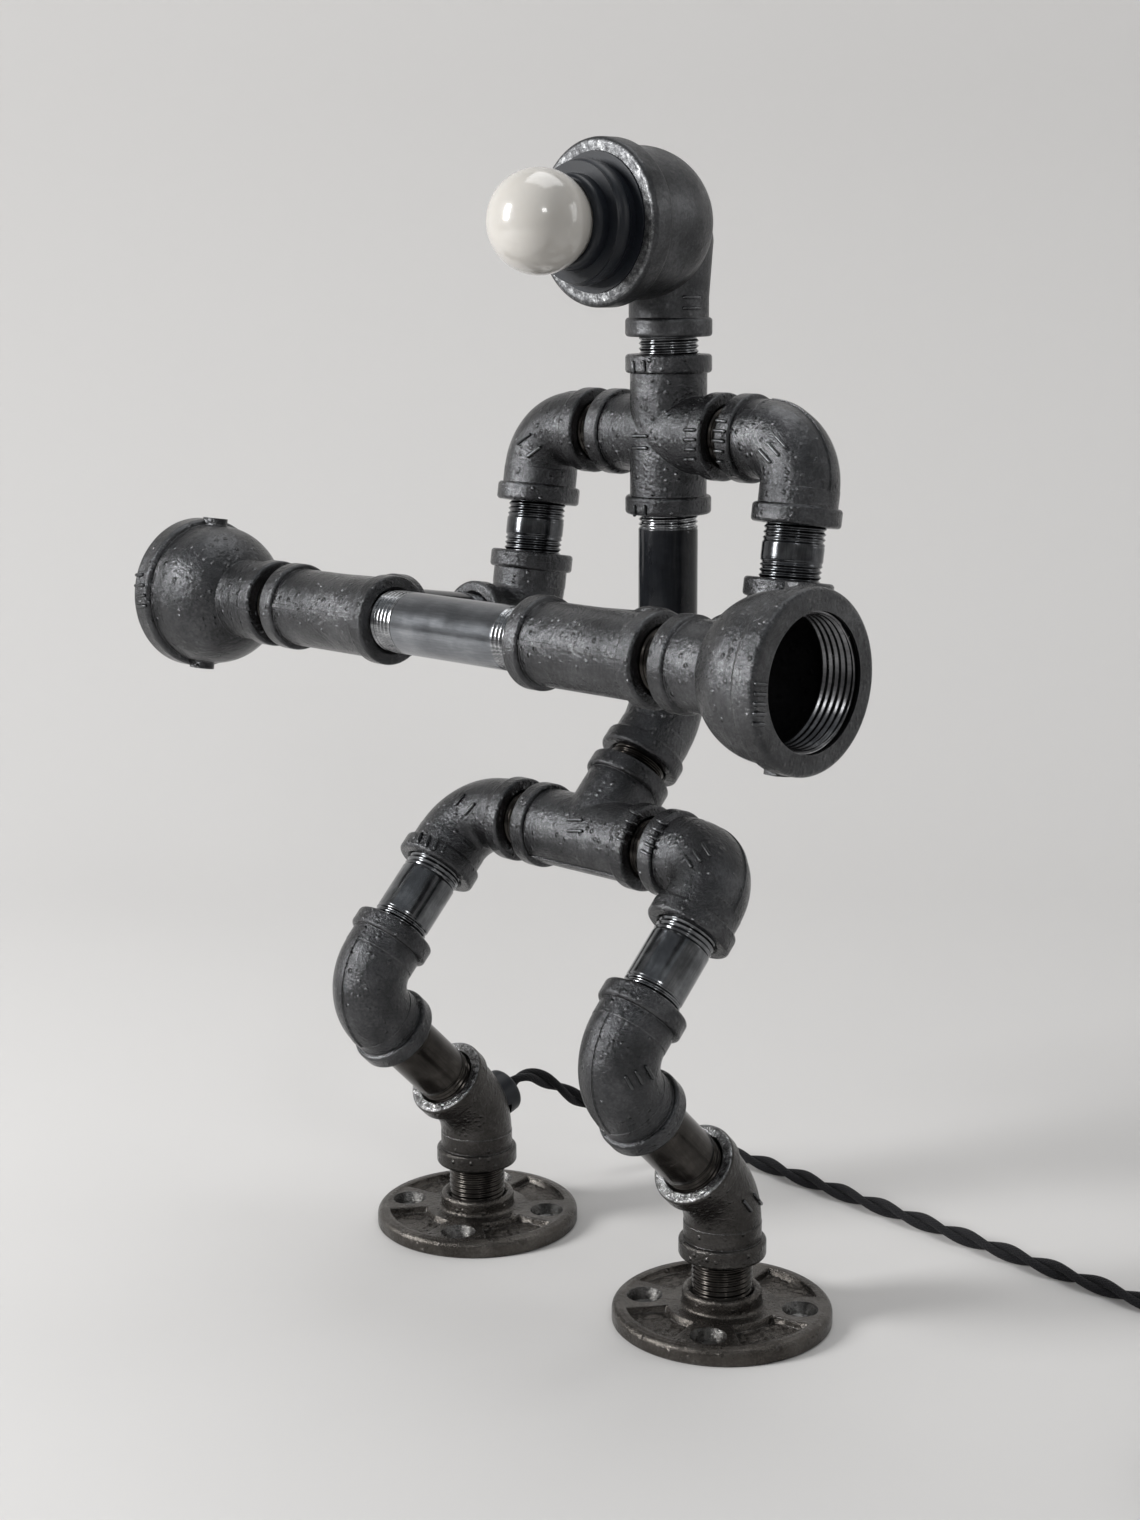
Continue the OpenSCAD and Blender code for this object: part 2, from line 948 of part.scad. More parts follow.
// A cable's bend in a fitting, with straight ends out to the given distances from the corner
module cable_bend(bend_r, angle, first, second) {
    from = bend_r * tan(angle / 2);
    bent_bar(bend_r, angle, cable_r);
    if (first > from)
        rotate([180, 0, 0])
            translate([0, 0, from])
                cylinder(r = cable_r, h = first - from);
    if (second > from)
        rotate([0, angle, 0])
            translate([0, 0, from])
                cylinder(r = cable_r, h = second - from);
}

// In the ankle the cable turns from the grommet's axis to the shin's, where the two cross
grommet_cross = (bend_bend_r + bend_bend_r * tan(slope / 2) * tan(slope))
    / (cos(grommet_tilt) + sin(grommet_tilt) * tan(slope));
shin_cross = (bend_bend_r - cos(grommet_tilt) * grommet_cross) / sin(slope);

// Corner of the waist elbow to the end of its bend, where the torso's cable takes over
waist_bend_end = bend_bend_r * tan(slope / 2);

module leg_cable() {
    color([0.15, 0.15, 0.15]) {
        at_ankle(-1)
            rotate([0, 0, -90])
                grommet_place()
                    translate([0, 0, grommet_cross]) {
                        sphere(cable_r + cable_joint);
                        cylinder(r = cable_r, h = grommet_seat - grommet_cross);
                    }
        at_knee(-1)
            rotate([-slope, 0, 0]) {
                rotate([90, 0, 0])
                    rotate([0, 0, 90])
                        cable_bend(elbow_bend_r, 90, shin_len - shin_cross, thigh_len / 2);
                translate([0, 0, thigh_len])
                    cable_bend(elbow_bend_r, 90, thigh_len / 2, fit_reach + hip_gap / 2 - part_gap / 2);
            }
    }
}

// Comes in along the left arm of the pelvis tee and turns up its branch
module pelvis_cable() {
    color([0.15, 0.15, 0.15])
        at_pelvis() {
            rotate([180, 0, 0])
                rotate([0, 90, 0])
                    cable_bend(elbow_bend_r, 90, fit_reach + hip_gap / 2 - part_gap / 2, waist_len / 2);
            translate([0, 0, waist_len])
                rotate([0, 0, -90])
                    cable_bend(bend_bend_r, slope, waist_len / 2, waist_bend_end);
        }
}

module torso_cable() {
    low = waist_z + waist_bend_end + part_gap;
    high = cross_z + fit_reach + neck_gap / 2 - part_gap / 2;
    color([0.15, 0.15, 0.15])
        translate([0, waist_y, low])
            cylinder(r = cable_r, h = high - low);
}

module head_cable() {
    color([0.15, 0.15, 0.15])
        at_head()
            cable_bend(
                holder_back, 90,
                head_rise + neck_gap / 2 - part_gap / 2,
                holder_back + holder_floor
            );
}

// ---- grommet on the left ankle elbow ----

// Frame at the bend's centre, +Z pointing out through the back of the elbow
module grommet_place() {
    reach = bend_bend_r * tan(slope / 2);
    translate([bend_bend_r, 0, -reach])
        rotate([0, -90 + grommet_tilt, 0])
            children();
}

module grommet_hole() {
    grommet_place()
        translate([0, 0, bend_bend_r])
            cylinder(d = grommet_d / 2, h = body_r + over);
}

// Its flange is cut to the elbow's outside, and its stem fills the hole
module cord_grommet() {
    sink = body_r / 2;
    color([0.05, 0.05, 0.05])
        at_ankle(-1)
            rotate([0, 0, -90])
                difference() {
                    union() {
                        difference() {
                            grommet_place()
                                translate([0, 0, grommet_seat - sink])
                                    rotate_extrude()
                                        band_outline(grommet_d / 2, 0, sink + grommet_h, grommet_h / 2 - 0.3);
                            bent_bar(bend_bend_r, slope, body_r + fit_clear);
                            bend_seam(bend_bend_r, slope, fit_clear);
                            rotate([180, 0, 0])
                                cylinder(r = body_r + socket_swell + fit_clear, h = bend_reach);
                        }
                        grommet_place()
                            translate([0, 0, bend_bend_r + throat_r])
                                cylinder(d = grommet_d / 2 - 2 * fit_clear, h = body_r - throat_r + over);
                    }
                    grommet_place()
                        translate([0, 0, bend_bend_r])
                            cylinder(r = cable_r + part_gap, h = body_r + grommet_h - 2);
                }
}

// ---- cord ----

function unit(v) = v / norm(v);
function ways(pts) = [
    for (i = [0:len(pts) - 1])
        unit(pts[min(i + 1, len(pts) - 1)] - pts[max(i - 1, 0)])
];

// Corners of the ring round point p, square to way
function ring(p, way, r, sides) =
    let (across = unit(cross(way, [0, 0, 1])), up = cross(across, way))
    [for (k = [0:sides - 1]) p + r * (cos(360 * k / sides) * across + sin(360 * k / sides) * up)];

module swept_tube(pts, r, sides) {
    n = len(pts);
    along = ways(pts);
    corners = [for (i = [0:n - 1]) each ring(pts[i], along[i], r, sides)];
    walls = [
        for (i = [0:n - 2], k = [0:sides - 1])
            let (a = i * sides + k, b = i * sides + (k + 1) % sides)
            each [[a, b, a + sides], [b, b + sides, a + sides]]
    ];
    first_cap = [for (k = [1:sides - 2]) [0, k + 1, k]];
    last_cap = [for (k = [1:sides - 2]) (n - 1) * sides * [1, 1, 1] + [0, k, k + 1]];
    polyhedron(corners, concat(first_cap, walls, last_cap));
}

module from_feet() {
    translate([0, foot_y, 0])
        children();
}

module cord_lead() {
    color([0.05, 0.05, 0.06])
        from_feet()
            swept_tube(lead_points, cord_r, cord_sides);
}

module cord_link() {
    color([0.05, 0.05, 0.06])
        from_feet()
            swept_tube(link_points, cord_r, cord_sides);
}

module cord_tail() {
    color([0.05, 0.05, 0.06])
        from_feet()
            swept_tube(tail_points, cord_r, cord_sides);
}

// Coil: clockwise from its +X side, in for coil_turns, half a turn up a layer, out again
coil_total = 2 * coil_turns + 0.5;
function coil_radius(t) = coil_r_out - coil_pitch * min(t, coil_total - t);
function coil_height(t) = coil_layer * min(1, max(0, (t - coil_turns) / 0.5));
function coil_point(t) =
    coil_start + [
        coil_radius(t) * cos(360 * t),
        -coil_radius(t) * sin(360 * t),
        coil_height(t)
    ];
coil_steps = ceil(coil_total * coil_rings);
coil_points = concat(
    [coil_point(0) + [0, coil_lead, 0]],
    [for (i = [0:coil_steps]) coil_point(coil_total * i / coil_steps)],
    [coil_point(coil_total) - [0, coil_lead, 0]]
);
coil_far = coil_rings / 2;
coil_room = min([
    for (i = [0:len(coil_points) - 1], j = [i + coil_far:1:len(coil_points) - 1])
        norm(coil_points[i] - coil_points[j])
]) - cord_d;
function path_length(pts, i = 0) =
    i >= len(pts) - 1 ? 0 : norm(pts[i + 1] - pts[i]) + path_length(pts, i + 1);
echo(coil_least_gap = coil_room);
echo(
    cord_lengths = [path_length(lead_points), path_length(link_points), path_length(coil_points), path_length(tail_points)]
);

module cord_coil() {
    color([0.05, 0.05, 0.06])
        from_feet()
            swept_tube(coil_points, cord_r, coil_sides);
}

// Strap round the turns on the coil's far side
module coil_tie() {
    mid_r = coil_r_out - coil_pitch * coil_turns / 2;
    room_w = coil_pitch * coil_turns + cord_d + 2 * part_gap;
    room_h = coil_layer + cord_d + 2 * part_gap;
    color("dimgray")
        translate([coil_start[0], foot_y + coil_start[1] + mid_r, coil_start[2] + coil_layer / 2])
            rotate([90, 0, 90])
                translate([0, 0, -tie_w / 2])
                    linear_extrude(tie_w)
                        difference() {
                            square([room_w + 2 * tie_t, room_h + 2 * tie_t], center = true);
                            square([room_w, room_h], center = true);
                        }
}

// ---- inline switch ----

module at_switch() {
    translate([switch_x + switch_len / 2, foot_y + switch_y, 0])
        children();
}

module switch_case() {
    flank = (switch_w - switch_end_w) / 2;
    color([0.05, 0.05, 0.05])
        at_switch()
            difference() {
                linear_extrude(switch_h)
                    polygon([
                        [-switch_len / 2, -switch_end_w / 2],
                        [-switch_len / 2 + flank, -switch_w / 2],
                        [switch_len / 2 - flank, -switch_w / 2],
                        [switch_len / 2, -switch_end_w / 2],
                        [switch_len / 2, switch_end_w / 2],
                        [switch_len / 2 - flank, switch_w / 2],
                        [-switch_len / 2 + flank, switch_w / 2],
                        [-switch_len / 2, switch_end_w / 2]
                    ]);
                translate([0, 0, rocker_axis_z])
                    rotate([90, 0, 0])
                        cylinder(r = rocker_r + rocker_gap, h = rocker_w + 2 * rocker_gap, center = true);
                translate([-rocker_r - rocker_gap, -rocker_w / 2 - rocker_gap, rocker_axis_z])
                    cube([2 * (rocker_r + rocker_gap), rocker_w + 2 * rocker_gap, switch_h]);
                translate([0, 0, rocker_axis_z])
                    rotate([90, 0, 0])
                        cylinder(
                            r = rocker_axle_r + fit_clear,
                            h = rocker_w + 2 * (rocker_gap + rocker_axle_len),
                            center = true
                        );
            }
}

// Rocker: a drum with two flats that meet in a shallow valley on top
module switch_rocker() {
    color([0.12, 0.12, 0.12])
        at_switch()
            translate([0, 0, rocker_axis_z])
                rotate([0, rocker_rest, 0])
                    union() {
                        rotate([90, 0, 0])
                            linear_extrude(rocker_w, center = true)
                                difference() {
                                    circle(rocker_r);
                                    translate([0, -1.5 * rocker_r])
                                        square(2 * rocker_r, center = true);
                                    for (side = [-1, 1])
                                        polygon([
                                            [0, rocker_r - 2.2],
                                            [side * rocker_r, rocker_r - 0.6],
                                            [side * rocker_r, 2 * rocker_r],
                                            [0, 2 * rocker_r]
                                        ]);
                                }
                        rotate([90, 0, 0])
                            cylinder(r = rocker_axle_r, h = rocker_w + 2 * rocker_axle_len, center = true);
                    }
}

// ---- plug ----

module plug_body() {
    color([0.05, 0.05, 0.05])
        translate([coil_start[0] + coil_r_out, foot_y + plug_y, plug_axis_z - plug_h / 2])
            linear_extrude(plug_h)
                polygon([
                    [-plug_end_w / 2, 0],
                    [plug_end_w / 2, 0],
                    [plug_w / 2, -plug_len / 3],
                    [plug_w / 2, -plug_len],
                    [-plug_w / 2, -plug_len],
                    [-plug_w / 2, -plug_len / 3]
                ]);
}

module plug_pins() {
    color("silver")
        for (side = [-1, 1])
            translate([coil_start[0] + coil_r_out + side * pin_pitch / 2, foot_y + plug_y - plug_len, plug_axis_z])
                rotate([90, 0, 0])
                    cylinder(d = pin_d, h = pin_len);
}

at_foot(-1) foot_flange();  // foot_flange_left
at_foot(1) foot_flange();  // foot_flange_right
at_foot(-1) foot_nipple();  // foot_nipple_left
at_foot(1) foot_nipple();  // foot_nipple_right
ankle_elbow(-1);  // ankle_elbow_left
ankle_elbow(1);  // ankle_elbow_right
shin_nipple(-1);  // shin_nipple_left
shin_nipple(1);  // shin_nipple_right
knee_elbow(-1);  // knee_elbow_left
knee_elbow(1);  // knee_elbow_right
thigh_nipple(-1);  // thigh_nipple_left
thigh_nipple(1);  // thigh_nipple_right
hip_elbow(-1);  // hip_elbow_left
hip_elbow(1);  // hip_elbow_right
hip_nipples();
pelvis_tee();
waist_nipple();
waist_elbow();
torso_pipe();
chest_cross();
neck_nipple();
shoulder_nipples();
shoulder_elbow(-1);  // shoulder_elbow_left
shoulder_elbow(1);  // shoulder_elbow_right
upper_arm_nipple(-1);  // upper_arm_nipple_left
upper_arm_nipple(1);  // upper_arm_nipple_right
arm_elbow(-1);  // arm_elbow_left
arm_elbow(1);  // arm_elbow_right
forearm_nipple(-1);  // forearm_nipple_left
forearm_nipple(1);  // forearm_nipple_right
barrel_tee(-1);  // barrel_tee_left
barrel_tee(1);  // barrel_tee_right
barrel_pipe();
bell_nipples();
bell_reducer(-1);  // bell_reducer_left
bell_reducer(1);  // bell_reducer_right
head_elbow();
holder_sleeve();
holder_body();
holder_shell();
holder_contact();
bulb_globe();
bulb_cap();
bulb_contact();
leg_cable();
pelvis_cable();
torso_cable();
head_cable();
cord_grommet();
cord_lead();
switch_case();
switch_rocker();
cord_link();
cord_coil();
coil_tie();
cord_tail();
plug_body();
plug_pins();
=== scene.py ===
import bmesh
import bpy
import json
import math
from mathutils import Matrix, Vector, noise
from mathutils.bvhtree import BVHTree


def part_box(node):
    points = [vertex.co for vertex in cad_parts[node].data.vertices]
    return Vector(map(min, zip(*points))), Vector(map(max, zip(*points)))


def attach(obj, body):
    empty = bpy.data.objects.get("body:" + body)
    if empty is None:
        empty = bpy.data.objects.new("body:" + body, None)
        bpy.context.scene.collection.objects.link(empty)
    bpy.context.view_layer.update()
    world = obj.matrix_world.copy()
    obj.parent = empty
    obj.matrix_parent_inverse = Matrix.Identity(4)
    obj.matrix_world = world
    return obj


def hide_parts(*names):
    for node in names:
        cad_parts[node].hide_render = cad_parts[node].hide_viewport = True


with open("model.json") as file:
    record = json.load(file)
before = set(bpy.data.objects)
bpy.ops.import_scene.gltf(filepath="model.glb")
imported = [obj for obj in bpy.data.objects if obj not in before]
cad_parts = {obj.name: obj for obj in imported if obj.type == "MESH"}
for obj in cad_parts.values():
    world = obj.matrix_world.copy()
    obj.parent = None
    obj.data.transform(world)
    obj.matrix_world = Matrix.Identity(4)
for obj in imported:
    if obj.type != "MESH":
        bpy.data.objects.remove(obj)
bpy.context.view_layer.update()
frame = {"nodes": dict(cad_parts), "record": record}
print("frame loaded:", len(frame["nodes"]), "nodes")

mm = 0.001
scene = bpy.context.scene
nodes = frame["nodes"]
bodyOf = {n: b for b, names in frame["record"]["behaviour"]["bodies"].items() for n in names}
footLow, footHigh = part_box("foot_flange_left")
# the feet's centre line, from which the cord's places are counted
footY = (footLow.y + footHigh.y) / 2 / mm


# helpers shared by all pieces
def newObject(name, data):
    made = bpy.data.objects.new(name, data)
    scene.collection.objects.link(made)
    return made


def smoothen(thing):
    thing.data.polygons.foreach_set("use_smooth", [True] * len(thing.data.polygons))


def meshObject(name, verts, faces):
    data = bpy.data.meshes.new(name)
    data.from_pydata([tuple(v) for v in verts], [], faces)
    data.update()
    made = newObject(name, data)
    smoothen(made)
    return made


def closeUp(thing):
    work = bmesh.new()
    work.from_mesh(thing.data)
    bmesh.ops.remove_doubles(work, verts=work.verts, dist=1e-6)
    bmesh.ops.dissolve_degenerate(work, edges=work.edges, dist=1e-7)
    bmesh.ops.recalc_face_normals(work, faces=work.faces)
    work.to_mesh(thing.data)
    work.free()
    thing.data.update()


def applyModifiers(thing):
    bpy.context.view_layer.update()
    seen = thing.evaluated_get(bpy.context.evaluated_depsgraph_get())
    old, thing.data = thing.data, bpy.data.meshes.new_from_object(seen)
    thing.modifiers.clear()
    bpy.data.meshes.remove(old)


def joinThings(name, things):
    work = bmesh.new()
    for thing in things:
        work.from_mesh(thing.data)
    data = bpy.data.meshes.new(name)
    work.to_mesh(data)
    work.free()
    for material in things[0].data.materials:
        data.materials.append(material)
    for thing in things:
        old = thing.data
        bpy.data.objects.remove(thing)
        bpy.data.meshes.remove(old)
    return newObject(name, data)


def standing(start, direction):        # a frame at start whose +Z runs along direction
    z = Vector(direction).normalized()
    x = Vector((1, 0, 0)) if abs(z.x) < 0.9 else Vector((0, 1, 0))
    x = (x - z * x.dot(z)).normalized()
    y = z.cross(x)
    return Matrix.Translation(start) @ Matrix((x, y, z)).transposed().to_4x4()


def wire(tree, node, wires):      # links what is a socket and sets what is a plain value
    for key, value in wires.items():
        socket = node.inputs[key]
        if isinstance(value, bpy.types.NodeSocket):
            tree.links.new(value, socket)
        else:
            socket.default_value = value


def addNode(tree, kind, wires=None, **settings):
    made = tree.nodes.new(kind)
    for key, value in settings.items():
        setattr(made, key, value)
    wire(tree, made, wires or {})
    return made


def calc(tree, operation, a, b=0.0, c=0.0):
    return addNode(tree, "ShaderNodeMath", {0: a, 1: b, 2: c}, operation=operation).outputs[0]


def times(tree, a, b):
    return calc(tree, "MULTIPLY", a, b)


def plus(tree, a, b):
    return calc(tree, "ADD", a, b)


def minus(tree, a, b):
    return calc(tree, "SUBTRACT", a, b)


def dress(thing, material):
    thing.data.materials.clear()
    thing.data.materials.append(material)


def placed(thing, body, material=None, stands=()):
    if material:
        dress(thing, material)
    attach(thing, body)
    if stands:
        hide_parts(*stands)


# procedural surfaces, their sizes in mm
def surface(name):
    material = bpy.data.materials.new(name)
    material.use_nodes = True
    tree = material.node_tree
    shader = tree.nodes["Principled BSDF"]
    return material, tree, shader, addNode(tree, "ShaderNodeTexCoord").outputs["Object"]


def speckle(tree, place, size, detail=3.0, rough=0.55, stretch=None):      # size in mm
    if stretch:
        place = addNode(tree, "ShaderNodeMapping", {"Vector": place, "Scale": stretch}).outputs[0]
    return addNode(tree, "ShaderNodeTexNoise", {
        "Vector": place, "Scale": 1000.0 / size, "Detail": detail, "Roughness": rough}).outputs["Fac"]


def shades(tree, factor, stops):
    ramp = addNode(tree, "ShaderNodeValToRGB", {"Fac": factor})
    band = ramp.color_ramp
    while len(band.elements) < len(stops):
        band.elements.new(0.5)
    for element, (at, shade) in zip(band.elements, stops):
        element.position = at
        element.color = (*shade, 1)
    return ramp.outputs["Color"]


def spread(tree, factor, low, high, fromLow=0.3, fromHigh=0.7):
    return addNode(tree, "ShaderNodeMapRange", {
        "Value": factor, "From Min": fromLow, "From Max": fromHigh, "To Min": low, "To Max": high}).outputs[0]


def bumps(tree, shader, height, depth, normal=None):
    made = addNode(tree, "ShaderNodeBump", {"Height": height, "Distance": depth * mm, "Strength": 1.0})
    if normal:
        tree.links.new(normal, made.inputs["Normal"])
    tree.links.new(made.outputs["Normal"], shader.inputs["Normal"])


def blend(tree, factor, low, high):
    made = addNode(tree, "ShaderNodeMix", data_type="RGBA")
    for socket, value in ((made.inputs[0], factor), (made.inputs[6], low), (made.inputs[7], high)):
        tree.links.new(value, socket)
    return made.outputs[2]


def lerp(tree, factor, low, high):
    return addNode(tree, "ShaderNodeMix", {0: factor, 2: low, 3: high}, data_type="FLOAT").outputs[0]


def beyond(tree, place, point, direction, soft=0.12):      # 1 past a plane through point, in mm
    along = addNode(tree, "ShaderNodeVectorMath", {0: place, 1: tuple(direction)},
                    operation="DOT_PRODUCT").outputs["Value"]
    start = Vector(point).dot(Vector(direction))
    return spread(tree, along, 0, 1, (start - soft) * mm, (start + soft) * mm)


# cutFace: a point on a bare face, its direction, its depth; inside: a centre and the painted shade for the
# inner walls
def castSurface(name, look, cutFace=None, inside=None):
    material, tree, shader, place = surface(name)
    sand = speckle(tree, place, look["sand"], 4, 0.7)
    blotch = speckle(tree, place, look["blotch"], 5, 0.6)
    swell = speckle(tree, place, look["swell"], 3, 0.5)
    cells = addNode(tree, "ShaderNodeTexVoronoi", {"Vector": place, "Scale": 1000 / look["grains"]},
                    feature="F1")
    chance = addNode(tree, "ShaderNodeSeparateColor", {0: cells.outputs["Color"]}).outputs[0]
    grains = times(tree, spread(tree, cells.outputs["Distance"], 1, 0, *look["grainFace"]),
                  spread(tree, chance, 0, 1, 1 - look["grainShare"], 1))
    eased = addNode(tree, "ShaderNodeBevel", {"Radius": look["edge"] * mm}, samples=4).outputs[0]
    flat = addNode(tree, "ShaderNodeNewGeometry").outputs["Normal"]
    turned = addNode(tree, "ShaderNodeVectorMath", {0: eased, 1: flat},
                     operation="DOT_PRODUCT").outputs["Value"]
    # edges lighter where the eased normal turns away from the true one: partly rubbed wear, partly a painted
    # highlight along the edges
    wearAndEdgeHighlight = times(tree, spread(tree, turned, 1, 0, *look["wearAndHighlightFace"]), spread(tree, blotch, 0.25, 1))
    mixed = calc(tree, "MULTIPLY_ADD", sand, 0.4, times(tree, blotch, 0.6))
    colour = shades(tree, mixed, look["shades"])
    colour = blend(tree, wearAndEdgeHighlight, colour, shades(tree, sand, look["wearAndHighlightShades"]))
    # grain tops lighter: partly rubbed high spots, partly painted glints
    colour = blend(tree, times(tree, grains, look["grainWearAndGlint"]), colour,
                   shades(tree, sand, look["wearAndHighlightShades"]))
    rough = spread(tree, mixed, look["rough"][1], look["rough"][0])
    if cutFace:
        point, direction, depth = cutFace
        bare = beyond(tree, place, Vector(point) - Vector(direction) * depth, direction)
        chips = spread(tree, speckle(tree, place, 1.8, 4, 0.7), 0.35, 1, *look["chips"])
        colour = blend(tree, times(tree, bare, chips), colour,
                       shades(tree, speckle(tree, place, 2.0, 5, 0.7), look["bareShades"]))
        # near-white edges on the bare face: a painted highlight over the wear
        colour = blend(tree, times(tree, bare, wearAndEdgeHighlight), colour, shades(tree, sand, look["brightShades"]))
    if inside:        # a point on an axis along X, and the painted shade laid on the walls that face it
        centre, paintedShadeLook = inside
        split = addNode(tree, "ShaderNodeSeparateXYZ", {0: place}).outputs
        away = addNode(tree, "ShaderNodeCombineXYZ", {1: minus(tree, split[1], centre.y * mm),
                                                      2: minus(tree, split[2], centre.z * mm)}).outputs[0]
        own = addNode(tree, "ShaderNodeTexCoord").outputs["Normal"]
        facing = addNode(tree, "ShaderNodeVectorMath", {0: away, 1: own},
                         operation="DOT_PRODUCT").outputs["Value"]
        paintedShadeMask = calc(tree, "LESS_THAN", facing, -0.05 * mm)
        colour = blend(tree, paintedShadeMask, colour, shades(tree, mixed, paintedShadeLook["shades"]))
        rough = lerp(tree, paintedShadeMask, rough, paintedShadeLook["rough"][1])
    wire(tree, shader, {"Base Color": colour, "Roughness": rough, "Metallic": look["metal"]})
    coarse, fine, broad = look["relief"]
    height = calc(tree, "MULTIPLY_ADD", sand, fine, times(tree, swell, broad))
    height = calc(tree, "MULTIPLY_ADD", grains, coarse, height)
    bumps(tree, shader, height, 1.0, eased)
    return material


castLook = {
    "sand": 1.0, "grains": 2.3, "grainShare": 0.6, "swell": 5.0, "blotch": 15, "metal": 0.9,
    "rough": (0.14, 0.30), "relief": (0.50, 0.32, 0.5), "edge": 0.4, "grainFace": (0.10, 0.42),
    "grainWearAndGlint": 0.16, "wearAndHighlightFace": (0.86, 0.995), "chips": (0.38, 0.56),
    "shades": [(0.34, (0.034, 0.035, 0.036)), (0.50, (0.064, 0.065, 0.068)), (0.66, (0.112, 0.114, 0.118))],
    "wearAndHighlightShades": [(0.3, (0.13, 0.13, 0.135)), (0.7, (0.28, 0.28, 0.285))],
    "bareShades": [(0.36, (0.06, 0.06, 0.063)), (0.50, (0.15, 0.153, 0.158)), (0.64, (0.36, 0.365, 0.37))],
    "brightShades": [(0.34, (0.30, 0.30, 0.30)), (0.60, (0.85, 0.85, 0.85))]}
# foot castings' brown shades: partly their own oily brown, partly a painted warm reflection from below
flangeLook = dict(
    castLook, sand=0.9, grains=2.2, rough=(0.18, 0.33), relief=(0.34, 0.26, 0.4), edge=0.25,
    shades=[(0.34, (0.036, 0.032, 0.028)), (0.52, (0.080, 0.073, 0.066)), (0.68, (0.155, 0.145, 0.134))])


def pipeSurface(name, look):       # reads the wrap that the thread tree stores: round the pipe, along it
    material, tree, shader, place = surface(name)
    wrap = addNode(tree, "ShaderNodeUVMap", uv_map="pipeWrap").outputs[0]
    drawn = speckle(tree, wrap, 1.0, 4, 0.6, (*look["streak"], 1))
    cloudy = speckle(tree, place, look["cloud"], 5, 0.6)
    colour = shades(tree, calc(tree, "MULTIPLY_ADD", drawn, 0.3, times(tree, cloudy, 0.7)), look["shades"])
    metal = look["metal"]
    if "bare" in look:        # where the thread starts and where it begins again, along the pipe in mm
        along = addNode(tree, "ShaderNodeSeparateXYZ", {0: wrap}).outputs[1]
        first, last = look["bare"]
        cut = calc(tree, "MAXIMUM", spread(tree, along, 1, 0, (first - 0.5) * mm, (first + 0.5) * mm),
                   spread(tree, along, 0, 1, (last - 0.5) * mm, (last + 0.5) * mm))
        colour = blend(tree, cut, colour, shades(tree, drawn, look["bareShades"]))
        metal = lerp(tree, cut, metal, 1.0)
    wire(tree, shader, {"Base Color": colour, "Metallic": metal,
                        "Specular IOR Level": look.get("specular", 0.5),
                        "Roughness": spread(tree, cloudy, *look["rough"])})
    bumps(tree, shader, drawn, look["relief"])
    return material


steelLook = {
    "streak": (1.6, 0.12), "cloud": 8, "metal": 1.0, "rough": (0.10, 0.20), "relief": 0.02,
    "shades": [(0.34, (0.09, 0.093, 0.097)), (0.52, (0.17, 0.175, 0.182)), (0.68, (0.29, 0.297, 0.308))],
    "bareShades": [(0.36, (0.16, 0.163, 0.168)), (0.52, (0.30, 0.306, 0.315)), (0.66, (0.48, 0.485, 0.495))]}
armLook = dict(steelLook, rough=(0.13, 0.24), shades=[
    (0.34, (0.045, 0.046, 0.049)), (0.52, (0.085, 0.088, 0.093)), (0.68, (0.16, 0.165, 0.173))])
barrelLook = dict(steelLook, cloud=20, rough=(0.16, 0.26), relief=0.03, bare=(21.5, 71.5), shades=[
    (0.34, (0.11, 0.116, 0.125)), (0.52, (0.19, 0.199, 0.213)), (0.68, (0.29, 0.30, 0.317))])
# dark oiled steel of the shin and foot nipples; on the short nipples in the gaps between fittings the same
# darkness is painted shade
oiledAndShadedLook = dict(steelLook, metal=0.85, rough=(0.14, 0.28), shades=[
    (0.34, (0.018, 0.016, 0.014)), (0.52, (0.040, 0.036, 0.032)), (0.68, (0.085, 0.078, 0.070))])
blackLook = {
    "streak": (1.2, 0.10), "cloud": 12, "metal": 0.0, "rough": (0.10, 0.20), "relief": 0.02,
    "specular": 0.32, "bare": (-5, 58.2), "bareShades": steelLook["bareShades"],
    "shades": [(0.34, (0.006, 0.0065, 0.008)), (0.52, (0.010, 0.011, 0.013)), (0.68, (0.018, 0.019, 0.022))]}


def plainSurface(name, look):
    material, tree, shader, place = surface(name)
    fine = speckle(tree, place, look["grain"], 4, 0.6)
    broad = speckle(tree, place, look.get("cloud", 12), 3, 0.5)
    mixed = calc(tree, "MULTIPLY_ADD", fine, 0.5, times(tree, broad, 0.5))
    dark, light = look["shades"]
    wire(tree, shader, {
        "Base Color": shades(tree, mixed, [(0.32, dark), (0.68, light)]),
        "Roughness": spread(tree, mixed, *look["rough"]), "Metallic": look.get("metal", 0.0),
        "Specular IOR Level": look.get("specular", 0.5), "Sheen Weight": look.get("sheen", 0.0)})
    bumps(tree, shader, fine, look["relief"])
    return material


def opalSurface(name, look):
    material, tree, shader, place = surface(name)
    cloudy = speckle(tree, place, look["cloud"], 3, 0.5)
    dust = speckle(tree, place, 0.5, 4, 0.7)
    dark, light = look["shades"]
    coat, coatRough = look["coat"]
    wire(tree, shader, {
        "Base Color": shades(tree, cloudy, [(0.3, dark), (0.7, light)]),
        "Roughness": spread(tree, dust, *look["rough"]), "Coat Weight": coat, "Coat Roughness": coatRough,
        "Subsurface Weight": look["glow"], "Subsurface Radius": look["glowReach"], "Subsurface Scale": 1.0})
    bumps(tree, shader, cloudy, 0.03)
    return material


